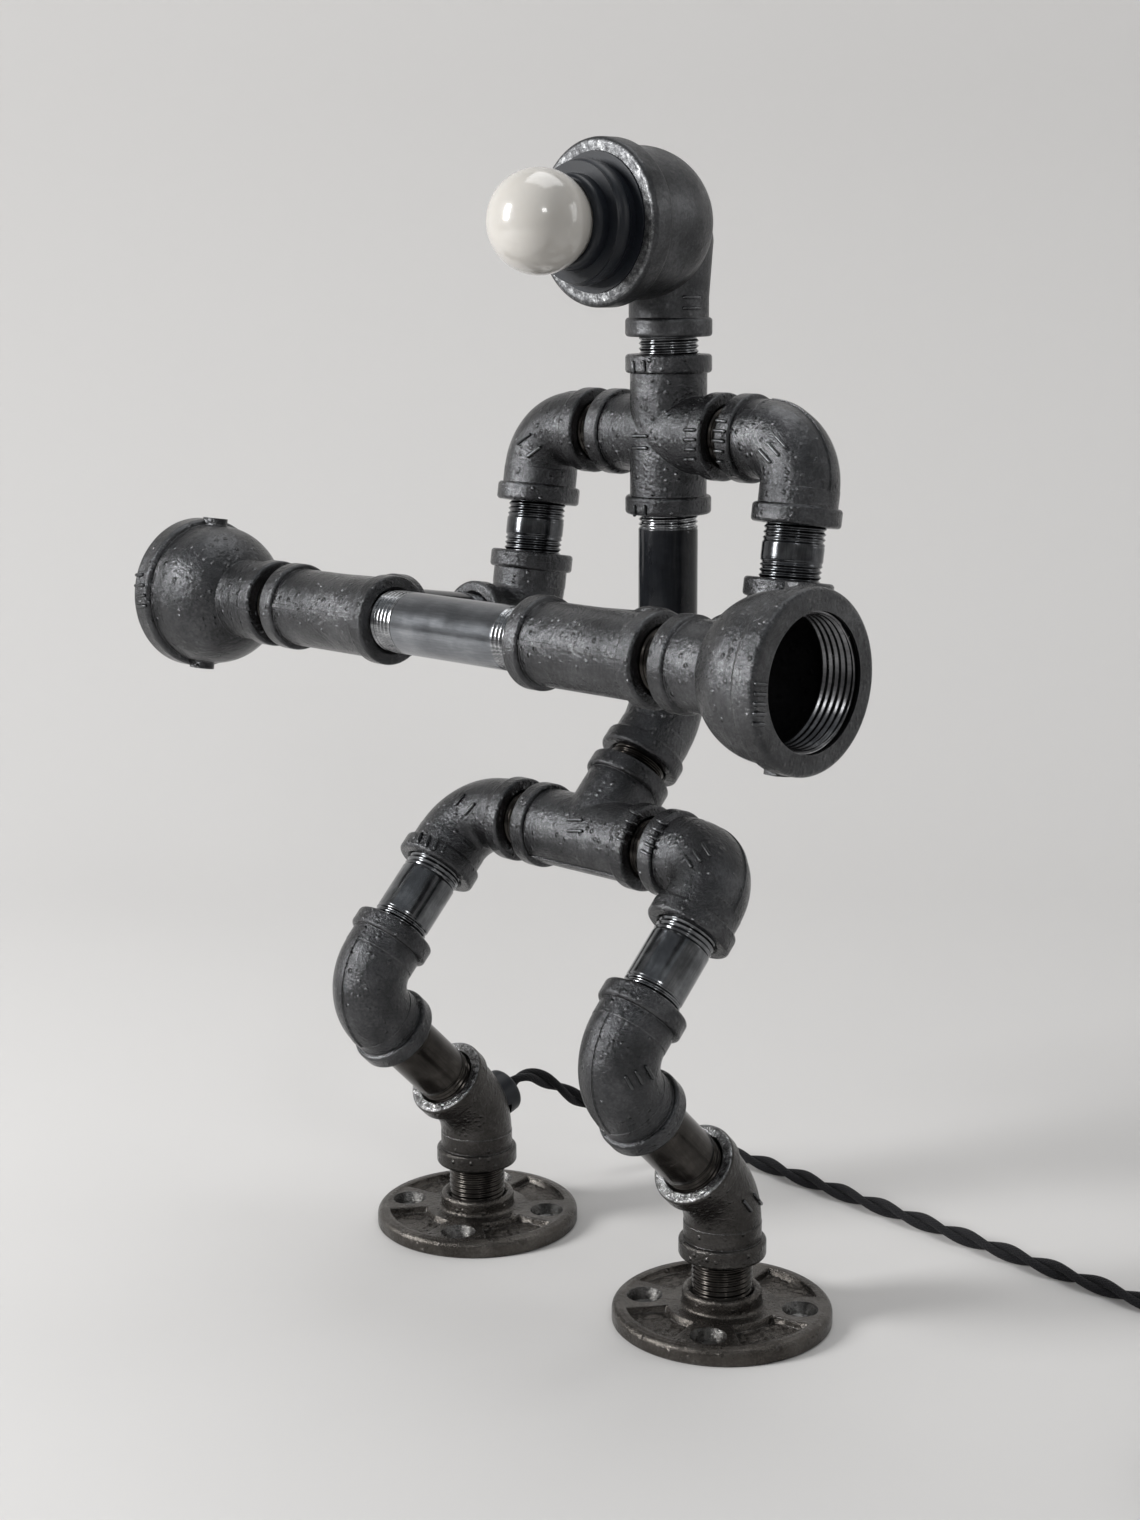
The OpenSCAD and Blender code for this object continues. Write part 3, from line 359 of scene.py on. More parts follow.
def clothSurface(name, look):      # braid over each strand, on the wrap that the cord carries
    material, tree, shader, place = surface(name)
    wrap = addNode(tree, "ShaderNodeUVMap", uv_map="strandWrap").outputs[0]
    split = addNode(tree, "ShaderNodeSeparateXYZ", {0: wrap})
    around, along = split.outputs[0], split.outputs[1]
    turns = times(tree, along, look["picks"] / mm)
    ends = times(tree, around, look["ends"])
    ways = [calc(tree, "SINE", times(tree, calc(tree, kind, turns, ends), math.tau))
            for kind in ("ADD", "SUBTRACT")]
    braid = calc(tree, "MAXIMUM", ways[0], ways[1])
    fuzz = speckle(tree, place, 0.35, 4, 0.7)
    mixed = calc(tree, "MULTIPLY_ADD", braid, 0.25, fuzz)
    dark, light = look["shades"]
    wire(tree, shader, {"Base Color": shades(tree, mixed, [(0.25, dark), (0.85, light)]),
                        "Roughness": look["rough"], "Sheen Weight": look["sheen"],
                        "Specular IOR Level": look["specular"]})
    bumps(tree, shader, calc(tree, "MULTIPLY_ADD", braid, 0.5, times(tree, fuzz, 0.4)), 0.22)
    return material


castIron = castSurface("castIron", castLook)
flangeIron = castSurface("flangeIron", flangeLook)
steelPipe = pipeSurface("steelPipe", steelLook)
oiledAndShadedPipe = pipeSurface("oiledAndShadedPipe", oiledAndShadedLook)
barrelSteel = pipeSurface("barrelSteel", barrelLook)
armPipe = pipeSurface("armPipe", armLook)
blackPipe = pipeSurface("blackPipe", blackLook)
opalGlass = opalSurface("opalGlass", {
    "cloud": 30, "shades": ((0.53, 0.505, 0.465), (0.58, 0.557, 0.52)), "rough": (0.16, 0.24), "glow": 0.12,
    "glowReach": (0.004, 0.0035, 0.003), "coat": (0.7, 0.07)})
clothBraid = clothSurface("clothBraid", {
    "picks": 0.55, "ends": 8, "rough": 0.82, "sheen": 0.05, "specular": 0.25,
    "shades": ((0.003, 0.003, 0.004), (0.011, 0.011, 0.013))})
plainLooks = [     # name, grain, cloud, dark shade, light shade, roughness, relief, what else differs
    ("sleeveRubber", 0.6, 14, (0.006, 0.0075, 0.011), (0.014, 0.017, 0.023), (0.34, 0.46), 0.035,
     {"specular": 0.35}),
    ("cordPlastic", 0.4, 20, (0.011, 0.011, 0.012), (0.019, 0.019, 0.020), (0.30, 0.42), 0.03, {}),
    ("rockerPlastic", 0.4, 9, (0.020, 0.020, 0.021), (0.032, 0.032, 0.034), (0.18, 0.28), 0.015, {}),
    ("strapCloth", 0.45, 6, (0.010, 0.010, 0.011), (0.034, 0.034, 0.036), (0.8, 0.95), 0.35, {"sheen": 0.2}),
    ("pinMetal", 0.3, 5, (0.62, 0.60, 0.55), (0.75, 0.73, 0.68), (0.16, 0.28), 0.02, {"metal": 1.0}),
    ("capMetal", 0.4, 6, (0.60, 0.60, 0.61), (0.74, 0.74, 0.74), (0.2, 0.35), 0.03, {"metal": 1.0}),
    ("brass", 0.4, 6, (0.60, 0.42, 0.18), (0.76, 0.58, 0.28), (0.22, 0.38), 0.03, {"metal": 1.0}),
    ("holderResin", 0.6, 10, (0.020, 0.019, 0.018), (0.038, 0.036, 0.035), (0.4, 0.55), 0.04, {}),
    ("cableSheath", 0.5, 8, (0.012, 0.012, 0.013), (0.022, 0.022, 0.024), (0.35, 0.5), 0.03, {})]
plain = {}
for name, grain, cloud, dark, light, rough, relief, more in plainLooks:
    plain[name] = plainSurface(name, dict(more, grain=grain, cloud=cloud, shades=(dark, light), rough=rough,
                                          relief=relief))
surfaceOf = {
    "cast_fitting": castIron, "flange_iron": flangeIron, "steel_pipe": steelPipe, "black_pipe": blackPipe,
    "opal_glass": opalGlass, "cloth_cord": clothBraid, "black_rubber": plain["sleeveRubber"],
    "holder_plastic": plain["holderResin"], "brass": plain["brass"], "bulb_cap_metal": plain["capMetal"],
    "inner_cable": plain["cableSheath"], "cord_plastic": plain["cordPlastic"],
    "rocker_plastic": plain["rockerPlastic"], "tie_fabric": plain["strapCloth"],
    "pin_brass": plain["pinMetal"]}
slotOf = {part["node"]: part["material_slot"] for part in frame["record"]["subparts"]}
for nodeName, node in nodes.items():
    dress(node, surfaceOf[slotOf[nodeName]])
print("surfaces made")


# fitted to the photograph: place in mm with y from the feet, angles in degrees, picture in pixels
cameraPlace = {"x": 563.65, "y": -569.10, "z": 354.46, "yaw": 45.27, "pitch": -11.59, "roll": -0.32,
               "focalPixels": 2321.37, "wide": 1140, "tall": 1520, "sensor": 36}


def placeCamera():
    yaw, pitch, roll = (math.radians(cameraPlace[k]) for k in ("yaw", "pitch", "roll"))
    forward = Vector((-math.sin(yaw) * math.cos(pitch), math.cos(yaw) * math.cos(pitch), math.sin(pitch)))
    level = Vector((math.cos(yaw), math.sin(yaw), 0))
    upright = level.cross(forward)
    right = math.cos(roll) * level + math.sin(roll) * upright
    up = math.cos(roll) * upright - math.sin(roll) * level
    data = bpy.data.cameras.new("photoCamera")
    data.sensor_width = cameraPlace["sensor"]
    data.lens = cameraPlace["sensor"] * cameraPlace["focalPixels"] / cameraPlace["tall"]
    data.clip_start, data.clip_end = 0.02, 40
    camera = newObject("photoCamera", data)
    turned = Matrix((right, up, -forward)).transposed().to_4x4()
    camera.matrix_world = Matrix.Translation(
        Vector((cameraPlace["x"], cameraPlace["y"] + footY, cameraPlace["z"])) * mm) @ turned
    scene.camera = camera


placeCamera()
print("camera placed")


# the cord's sizes and its route in mm, the same points as the solids'
cordSizes = {"diameter": 6.4, "strands": 2, "twistPitch": 40.0, "sides": 12, "step": 1.6}
# from the grommet down to the table and along behind the feet, y from the feet's centre line
leadPoints = [
    (-63, 16.1, 49.1), (-63, 22.2, 51.1), (-63, 28.5, 51), (-63, 34.8, 48.2), (-63, 41, 44),
    (-62.5, 48.5, 39), (-62, 57, 33), (-60.5, 65.5, 27), (-58, 75, 20.5), (-55, 84.5, 14.5),
    (-51, 93.5, 9.5), (-46, 102, 6), (-39, 109, 4), (-29, 114, 3.4), (-15, 114.5, 3.3), (0, 113.8, 3.3),
    (15, 113.2, 3.3), (30, 112.5, 3.3), (45, 112, 3.3), (60, 111.5, 3.3), (75, 111, 3.3), (90, 110.5, 3.3),
    (105, 110, 3.3), (120, 109.5, 3.3), (135, 109.1, 3.3), (150, 108.8, 3.3), (163, 108.5, 3.3),
    (176, 108, 4), (188, 107.5, 6), (199, 107.5, 8.3), (206, 107.5, 8.5)]
linkPoints = [
    (268, 107.5, 8.5), (275, 107.5, 8.4), (286, 106, 7.5), (297, 101.5, 6.5), (306, 93.5, 5.5),
    (312, 81.5, 5), (315, 69.5, 4.8), (316, 57.5, 4.8), (316, 45.5, 4.8)]
coilSizes = {"centre": (272, 39.5, 4.8), "radius": 44, "pitch": 7, "turns": 2.75, "layer": 7}
tailPoints = [
    (316, 33.5, 11.8), (316, 23.5, 11.6), (316, 12.5, 10.8), (316, 1.5, 9.6), (316, -9.5, 8.4),
    (316, -19.5, 7.6), (316, -28.5, 7.1), (316, -36.5, 7)]


def inFrame(points):
    return [Vector((x, y + footY, z)) * mm for x, y, z in points]


def coilPoints():
    s = coilSizes
    total = 2 * s["turns"] + 0.5
    points = []
    steps = int(total * 24)
    for i in range(steps + 1):
        t = total * i / steps
        r = s["radius"] - s["pitch"] * min(t, total - t)
        z = s["layer"] * min(max((t - s["turns"]) / 0.5, 0), 1)
        a = 2 * math.pi * t
        points.append((s["centre"][0] + r * math.cos(a), s["centre"][1] - r * math.sin(a),
                       s["centre"][2] + z))
    return points


def smoothLine(points, step):
    fine = []
    for i in range(len(points) - 1):
        before, after = points[max(i - 1, 0)], points[min(i + 2, len(points) - 1)]
        a, b = points[i], points[i + 1]
        for k in range(12):
            t = k / 12
            fine.append(0.5 * ((2 * a) + (b - before) * t + (2 * before - 5 * a + 4 * b - after) * t * t
                               + (3 * a - before - 3 * b + after) * t * t * t))
    fine.append(points[-1])
    along = [0.0]
    for a, b in zip(fine, fine[1:]):
        along.append(along[-1] + (b - a).length)
    count = max(2, round(along[-1] / (step * mm)))
    made, j = [], 0
    for i in range(count + 1):
        at = along[-1] * i / count
        while j < len(along) - 2 and along[j + 1] < at:
            j += 1
        made.append(fine[j].lerp(fine[j + 1], (at - along[j]) / max(along[j + 1] - along[j], 1e-9)))
    return made, along[-1]


def twistedCord(name, line):
    s = cordSizes
    r = s["diameter"] / 4 * mm
    verts, faces, wraps = [], [], []
    upright = Vector((0, 0, 1))
    frames, along = [], 0.0
    for i, p in enumerate(line):
        ahead = (line[min(i + 1, len(line) - 1)] - line[max(i - 1, 0)]).normalized()
        upright = (upright - ahead * upright.dot(ahead)).normalized()
        along += (p - line[i - 1]).length if i else 0
        frames.append((p, ahead, upright.copy(), ahead.cross(upright), along))
    w = s["sides"]
    for strand in range(s["strands"]):
        base = len(verts)
        centres = []
        for p, ahead, n, b, at in frames:
            a = 2 * math.pi * (at / (s["twistPitch"] * mm) + strand / s["strands"])
            centres.append(p + (n * math.cos(a) + b * math.sin(a)) * r)
        for i, c in enumerate(centres):
            d = (centres[min(i + 1, len(centres) - 1)] - centres[max(i - 1, 0)]).normalized()
            n = (frames[i][2] - d * frames[i][2].dot(d)).normalized()
            b = d.cross(n)
            for k in range(w):
                a = 2 * math.pi * k / w
                verts.append(c + (n * math.cos(a) + b * math.sin(a)) * r)
        for i in range(len(centres) - 1):
            low, high = frames[i][4], frames[i + 1][4]
            for k in range(w):
                faces.append((base + i * w + k, base + i * w + (k + 1) % w,
                              base + (i + 1) * w + (k + 1) % w, base + (i + 1) * w + k))
                wraps += [(k / w, low), ((k + 1) / w, low), ((k + 1) / w, high), (k / w, high)]
        faces.append([base + k for k in reversed(range(w))])
        faces.append([base + (len(centres) - 1) * w + k for k in range(w)])
        wraps += [(k / w, 0.0) for k in reversed(range(w))] + [(k / w, frames[-1][4]) for k in range(w)]
    cord = meshObject(name, verts, faces)
    layer = cord.data.uv_layers.new(name="strandWrap")
    for item, (u, v) in zip(layer.data, wraps):
        item.uv = (u, v)
    return cord


def layCords():
    leadLine, leadLength = smoothLine(inFrame(leadPoints), cordSizes["step"])
    restLine, restLength = smoothLine(inFrame(linkPoints + coilPoints() + tailPoints), cordSizes["step"])
    lead = twistedCord("leadCord", leadLine)
    rest = twistedCord("restCord", restLine)
    dress(lead, clothBraid)
    dress(rest, clothBraid)
    for piece, line, length, replaced, end, ways, carried in (
            (lead, leadLine, leadLength, ["cord_lead"], "fitting", "loose",
             [nodes["cord_grommet"], nodes["switch_case"], nodes["switch_rocker"]]),
            (rest, restLine, restLength, ["cord_link", "cord_coil", "cord_tail"], "plug", "coiled",
             [nodes["coil_tie"], nodes["plug_body"], nodes["plug_pins"]])):
        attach(piece, "legs")
        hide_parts(*replaced)
    print("cords laid:", round(leadLength, 3), round(restLength, 3))


layCords()


# the chain of fittings as the solids have it: reaches, gaps and rises in mm, the tilt in degrees
chain = {
    "fitReach": 28, "bendReach": 22, "engage": 12, "ankleZ": 46, "hipX": 63, "shinGap": 32, "thighGap": 27,
    "hipGap": 7, "waistGap": 4.5, "torsoGap": 51, "neckGap": 6, "shoulderGap": 6.5, "upperArmGap": 18.5,
    "forearmGap": 33, "armTilt": 9, "bellGap": 6.5, "bellLength": 52.5}


def findJoints():
    c = chain
    lean = math.sqrt(0.5)
    forward, back = Vector((0, -lean, lean)), Vector((0, lean, lean))
    tilt = math.radians(c["armTilt"])
    down, fore = Vector((0, -math.sin(tilt), -math.cos(tilt))), Vector((0, -math.cos(tilt), math.sin(tilt)))
    up, across = Vector((0, 0, 1)), Vector((1, 0, 0))
    fit, bend = c["fitReach"], c["bendReach"]
    at = {"forward": forward, "back": back, "down": down, "fore": fore, "up": up, "across": across}
    foot = Vector((0, footY, 0))
    at["ankle"] = foot + up * c["ankleZ"]
    at["knee"] = at["ankle"] + forward * (bend + c["shinGap"] + fit)
    at["hip"] = at["knee"] + back * (2 * fit + c["thighGap"])
    at["waist"] = at["hip"] + back * (fit + c["waistGap"] + bend)
    at["chest"] = at["waist"] + up * (bend + c["torsoGap"] + fit)
    at["arm"] = at["chest"] + down * (2 * fit + c["upperArmGap"])
    at["barrel"] = at["arm"] + fore * (2 * fit + c["forearmGap"])
    at["shoulderX"] = 2 * fit + c["shoulderGap"]
    return at


joint = findJoints()


def bareFaces():
    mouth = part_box("head_elbow")[0].y / mm
    headIron = castSurface("headIron", dict(castLook, rough=(0.34, 0.50), relief=(0.10, 0.11, 0.4)),
                           ((0, mouth, 0), (0, -1, 0), 0.35))
    rim = joint["ankle"] + joint["forward"] * chain["bendReach"]
    # ankle castings: shades warmer and darker than the other fittings, a painted warm reflection from below
    ankleLook = dict(castLook, bareShades=[(0.36, (0.08, 0.08, 0.083)), (0.50, (0.24, 0.242, 0.246)),
                                           (0.64, (0.52, 0.523, 0.53))],
                     shades=[(0.34, (0.029, 0.027, 0.025)), (0.50, (0.052, 0.049, 0.046)),
                             (0.66, (0.088, 0.084, 0.080))])
    ankleIron = castSurface("ankleIron", ankleLook, (rim, joint["forward"], 0.35))
    dress(nodes["head_elbow"], headIron)
    for word in ("left", "right"):
        dress(nodes["ankle_elbow_" + word], ankleIron)


bareFaces()


def bellFaces():      # painted shade: the castings' insides are made blacker than their outsides
    bellInsideShadeLook = dict(castLook, metal=0.2, rough=(0.5, 0.7),
                  shades=[(0.34, (0.004, 0.004, 0.005)), (0.66, (0.014, 0.014, 0.015))])
    bellIronShadedInside = castSurface("bellIronShadedInside", castLook, inside=(joint["barrel"], bellInsideShadeLook))
    for word in ("left", "right"):
        dress(nodes["bell_reducer_" + word], bellIronShadedInside)


bellFaces()


# one turned and pocketed casting for each foot: mm, "pocketHalf" and "turn" in degrees
flangeSizes = {
    "radius": 38.5, "thick": 6.0, "edge": 2.4, "rim": 4.6, "pocketDepth": 2.4, "pocketInner": 19.4,
    "pocketHalf": 25, "draft": 0.65, "hubRadius": 14.0, "hubTop": 12.0, "hubRound": 1.6, "hubFoot": 1.3,
    "bore": 10.7, "pcd": 55.0, "hole": 6.2, "sink": 12.6, "sinkFoot": 1.3, "sinkRise": 2.1,
    "holeSides": 48, "turn": 32, "sectors": 400, "lump": 0.2}


def eased(value, low, high):
    t = min(max((value - low) / (high - low), 0.0), 1.0)
    return t * t * (3 - 2 * t)


# height of the casting's top at a place, with four pockets between the screw pads
def flangeTop(r, angle):
    s = flangeSizes
    edge = s["radius"] - s["edge"]
    if r > edge:
        return s["thick"] - s["edge"] + math.sqrt(max(s["edge"] ** 2 - (r - edge) ** 2, 0))
    hub = s["hubRadius"] + s["hubFoot"]
    if r < hub:
        return s["thick"] + s["hubFoot"] - math.sqrt(max(s["hubFoot"] ** 2 - (hub - r) ** 2, 0))
    outer = s["radius"] - s["rim"]
    off = abs((math.degrees(angle) - s["turn"]) % 90 - 45)
    side = (math.radians(s["pocketHalf"] - off)) * r
    inside = min(eased(r, s["pocketInner"], s["pocketInner"] + s["draft"]),
                 1 - eased(r, outer - s["draft"], outer), eased(side, 0, s["draft"]))
    bead = 0.25 * math.sin(math.pi * min(max((r - outer) / (edge - outer), 0), 1)) if r > outer else 0
    rough = noise.noise(Vector((r * math.cos(angle), r * math.sin(angle), 1.7)) / 2.1)
    return s["thick"] - s["pocketDepth"] * inside + bead + rough * s["lump"] * (0.4 + 2.2 * inside) - 0.05


def castFlange(word, x):
    s = flangeSizes
    turns = s["sectors"]
    rings = [(s["bore"], 0.0), (s["bore"], s["hubTop"] - 1.4), (s["bore"] + 1.3, s["hubTop"] - 0.1)]
    crown = s["hubRadius"] - s["hubRound"]
    for v in (math.radians(v) for v in range(0, 91, 18)):
        rings.append((crown + s["hubRound"] * math.sin(v), s["hubTop"] - s["hubRound"] * (1 - math.cos(v))))
    rings.append((s["hubRadius"], s["thick"] + s["hubFoot"] + 1.0))
    r, radii = s["hubRadius"], []
    while r < s["radius"] - s["edge"]:
        radii.append(r)
        r += 0.2 if r < s["hubRadius"] + s["hubFoot"] else 0.42
    radii += [s["radius"] - s["edge"] * (1 - math.sin(math.radians(v))) for v in range(0, 91, 10)]
    angles = [math.tau * k / turns for k in range(turns)]
    verts = [(r * math.cos(a), r * math.sin(a), z) for r, z in rings for a in angles]
    verts += [(r * math.cos(a), r * math.sin(a), flangeTop(r, a)) for r in radii for a in angles]
    rim = ((s["radius"], 0.5), (s["radius"] - 0.5, 0.0))
    verts += [(r * math.cos(a), r * math.sin(a), z) for r, z in rim for a in angles]
    count = len(verts) // turns
    faces = []
    for i in range(count):
        low, high = i * turns, (i + 1) % count * turns
        faces += [(low + k, high + k, high + (k + 1) % turns, low + (k + 1) % turns) for k in range(turns)]
    plate = meshObject("flangeBlank" + word, verts, faces)
    dress(plate, flangeIron)
    closeUp(plate)
    cutters = []
    for k in range(4):
        a = math.radians(s["turn"] + 90 * k)
        centre = Vector((math.cos(a), math.sin(a), 0)) * s["pcd"] / 2
        low, high = s["hole"] / 2, s["sink"] / 2
        profile = [(low, -1), (low, s["sinkFoot"]), (high - 1.7, s["sinkRise"]),
                   (high - 0.3, s["thick"] - 0.5), (high + 1.0, s["thick"] + 1.0)]
        n = s["holeSides"]
        ring = [centre + Vector((r * math.cos(math.tau * i / n), r * math.sin(math.tau * i / n), z))
                for r, z in profile for i in range(n)]
        walls = [(j * n + i, j * n + (i + 1) % n, (j + 1) * n + (i + 1) % n, (j + 1) * n + i)
                 for j in range(len(profile) - 1) for i in range(n)]
        lids = [tuple(range(n - 1, -1, -1)), tuple(range(len(ring) - n, len(ring)))]
        cutters.append(meshObject("holeCutter", ring, walls + lids))
        dress(cutters[-1], sinkIron)
    cutter = joinThings("flangeCutter", cutters)
    cut = plate.modifiers.new("screwHoles", "BOOLEAN")
    cut.operation, cut.solver, cut.object = "DIFFERENCE", "EXACT", cutter
    plate.data.materials.append(sinkIron)
    applyModifiers(plate)
    bpy.data.objects.remove(cutter)
    for polygon in plate.data.polygons:
        away = min((polygon.center.xy - Vector((math.cos(a), math.sin(a))) * s["pcd"] / 2).length
                   for a in (math.radians(s["turn"] + 90 * k) for k in range(4)))
        inSink = away < s["sink"] / 2 + 0.4 and polygon.normal.z < 0.93 and polygon.center.z > 0.2
        polygon.material_index = 1 if inSink else 0
    plate.data.transform(Matrix.Translation(Vector((x, footY, 0)) * mm) @ Matrix.Scale(mm, 4))
    smoothen(plate)
    plate.data.set_sharp_from_angle(angle=math.radians(38))
    plate.name = "foot_casting_" + word
    placed(plate, "legs", None, ["foot_flange_" + word])


markIron = castSurface("markIron", dict(castLook, edge=0.12, relief=(0.15, 0.15, 0.2), shades=[
    (0.34, (0.045, 0.046, 0.048)), (0.50, (0.085, 0.087, 0.09)), (0.66, (0.14, 0.143, 0.15))]))
sinkIron = castSurface("sinkIron", dict(
    flangeLook, rough=(0.18, 0.30), edge=0.2, relief=(0.25, 0.25, 0.3),
    shades=[(0.36, (0.030, 0.028, 0.026)), (0.50, (0.085, 0.083, 0.080)), (0.62, (0.20, 0.198, 0.195))]))
boredIron = pipeSurface("boredIron", dict(steelLook, rough=(0.16, 0.28), metal=0.95, shades=[
    (0.34, (0.07, 0.07, 0.073)), (0.52, (0.16, 0.16, 0.166)), (0.68, (0.32, 0.322, 0.33))]))
for side, word in ((-1, "left"), (1, "right")):
    castFlange(word, side * chain["hipX"])
print("flanges cast")


# plain raised bars, laid on the fittings where the photograph shows raised work
markSizes = {"radius": 0.65, "lift": 0.3, "step": 0.7, "sides": 8}
markRows = [     # node, first and last bar's places in the picture, how many bars, half a bar's length there
    ("shoulder_elbow_right", (765, 456), (781, 442), 3, 8),
    ("shoulder_elbow_left", (524, 439), (534, 452), 2, 8),
    ("hip_elbow_right", (688, 861), (706, 850), 3, 7), ("hip_elbow_left", (460, 800), (470, 809), 2, 7),
    ("knee_elbow_right", (629, 1083), (649, 1072), 3, 7),
    ("ankle_elbow_right", (747, 1206), (757, 1199), 2, 6),
    ("chest_cross", (640, 436), (640, 448), 2, 7), ("pelvis_tee", (575, 820), (575, 831), 2, 7),
    ("head_elbow", (691, 297), (691, 308), 2, 8),
    ("shoulder_elbow_right", (721, 421), (717, 461), 5, 5), ("chest_cross", (690, 430), (690, 459), 4, 5),
    ("hip_elbow_right", (662, 823), (646, 853), 5, 5), ("pelvis_tee", (636, 814), (622, 841), 4, 5),
    ("hip_elbow_left", (420, 838), (444, 848), 4, 5), ("arm_elbow_right", (803, 592), (828, 594), 4, 5),
    ("bell_reducer_right", (760, 684), (758, 724), 5, 5), ("bell_reducer_left", (139, 575), (142, 606), 4, 4),
    ("chest_cross", (634, 367), (644, 366), 2, 5), ("chest_cross", (635, 511), (645, 511), 2, 5)]


def picturePoint(shape, px, py):      # where the line of sight through a place in the picture meets a fitting
    turned = scene.camera.matrix_world
    right, up, back = (turned.to_3x3().col[i] for i in range(3))
    c = cameraPlace
    ray = (right * (px - c["wide"] / 2) - up * (py - c["tall"] / 2) - back * c["focalPixels"]).normalized()
    spot, normal, index, away = shape.ray_cast(turned.translation, ray)
    return spot + normal * markSizes["lift"] * mm if spot else None


def raisedStroke(points):
    r, sides = markSizes["radius"] * mm, markSizes["sides"]
    line = []
    for a, b in zip(points, points[1:]):
        steps = max(1, round((b - a).length / (markSizes["step"] * mm)))
        line += [a.lerp(b, i / steps) for i in range(steps)]
    line.append(points[-1])
    ends = [(line[0] + (line[0] - line[1]).normalized() * r * 0.6, 0.45)]
    ends += [(p, 1.0) for p in line]
    ends.append((line[-1] + (line[-1] - line[-2]).normalized() * r * 0.6, 0.45))
    verts, faces = [], []
    for i, (p, size) in enumerate(ends):
        ahead = (ends[min(i + 1, len(ends) - 1)][0] - ends[max(i - 1, 0)][0]).normalized()
        side = ahead.orthogonal().normalized()
        over = ahead.cross(side)
        verts += [p + (side * math.cos(a) + over * math.sin(a)) * r * size
                  for a in (math.tau * k / sides for k in range(sides))]
    for i in range(len(ends) - 1):
        low, high = i * sides, (i + 1) * sides
        faces += [(low + k, low + (k + 1) % sides, high + (k + 1) % sides, high + k) for k in range(sides)]
    faces += [tuple(range(sides - 1, -1, -1)), tuple((len(ends) - 1) * sides + k for k in range(sides))]
    return verts, faces


def raiseMarks():
    strokes = []
    for node, first, last, count, half in markRows:
        along = Vector(last) - Vector(first)
        across = Vector((-along.y, along.x)).normalized() * half
        for i in range(count):
            centre = Vector(first) + along * i / (count - 1)
            strokes.append((node, [tuple(centre - across), tuple(centre), tuple(centre + across)]))
    shapes, made = {}, {}
    for node, stroke in strokes:
        if node not in shapes:
            data = nodes[node].data
            shapes[node] = BVHTree.FromPolygons([v.co for v in data.vertices],
                                                [tuple(f.vertices) for f in data.polygons])
        fine = []
        for a, b in zip(stroke, stroke[1:]):
            fine += [Vector(a).lerp(Vector(b), i / 4) for i in range(4)]
        fine.append(Vector(stroke[-1]))
        points = [picturePoint(shapes[node], p.x, p.y) for p in fine]
        points = [p for p in points if p]
        if len(points) < 3 or max((b - a).length for a, b in zip(points, points[1:])) > 4 * mm:
            print("mark left out:", node, stroke[0])
            continue
        made.setdefault(bodyOf[node], []).append(raisedStroke(points))
    for body, parts in made.items():
        verts, faces = [], []
        for some, sides in parts:
            faces += [tuple(i + len(verts) for i in face) for face in sides]
            verts += some
        thing = meshObject("casting_marks_" + body, verts, faces)
        closeUp(thing)
        smoothen(thing)
        placed(thing, body, markIron)
    print("marks raised:", sum(len(parts) for parts in made.values()))


raiseMarks()


# the cut threads of pipes, nipples and bells in mm
threadSizes = {
    "allAlong": 40.0, "pitch": 1.814, "depth": 0.85, "runout": 2.0, "shown": 5.0, "shownBarrel": 10.0,
    "sides": 48, "pipe": 21.3, "bore": 15.9, "skin": 0.02}
bellThread = {"pitch": 2.309, "depth": 1.15, "radius": 20.72, "back": 21.3, "length": 13.0, "inset": 1.6,
              "sides": 72}


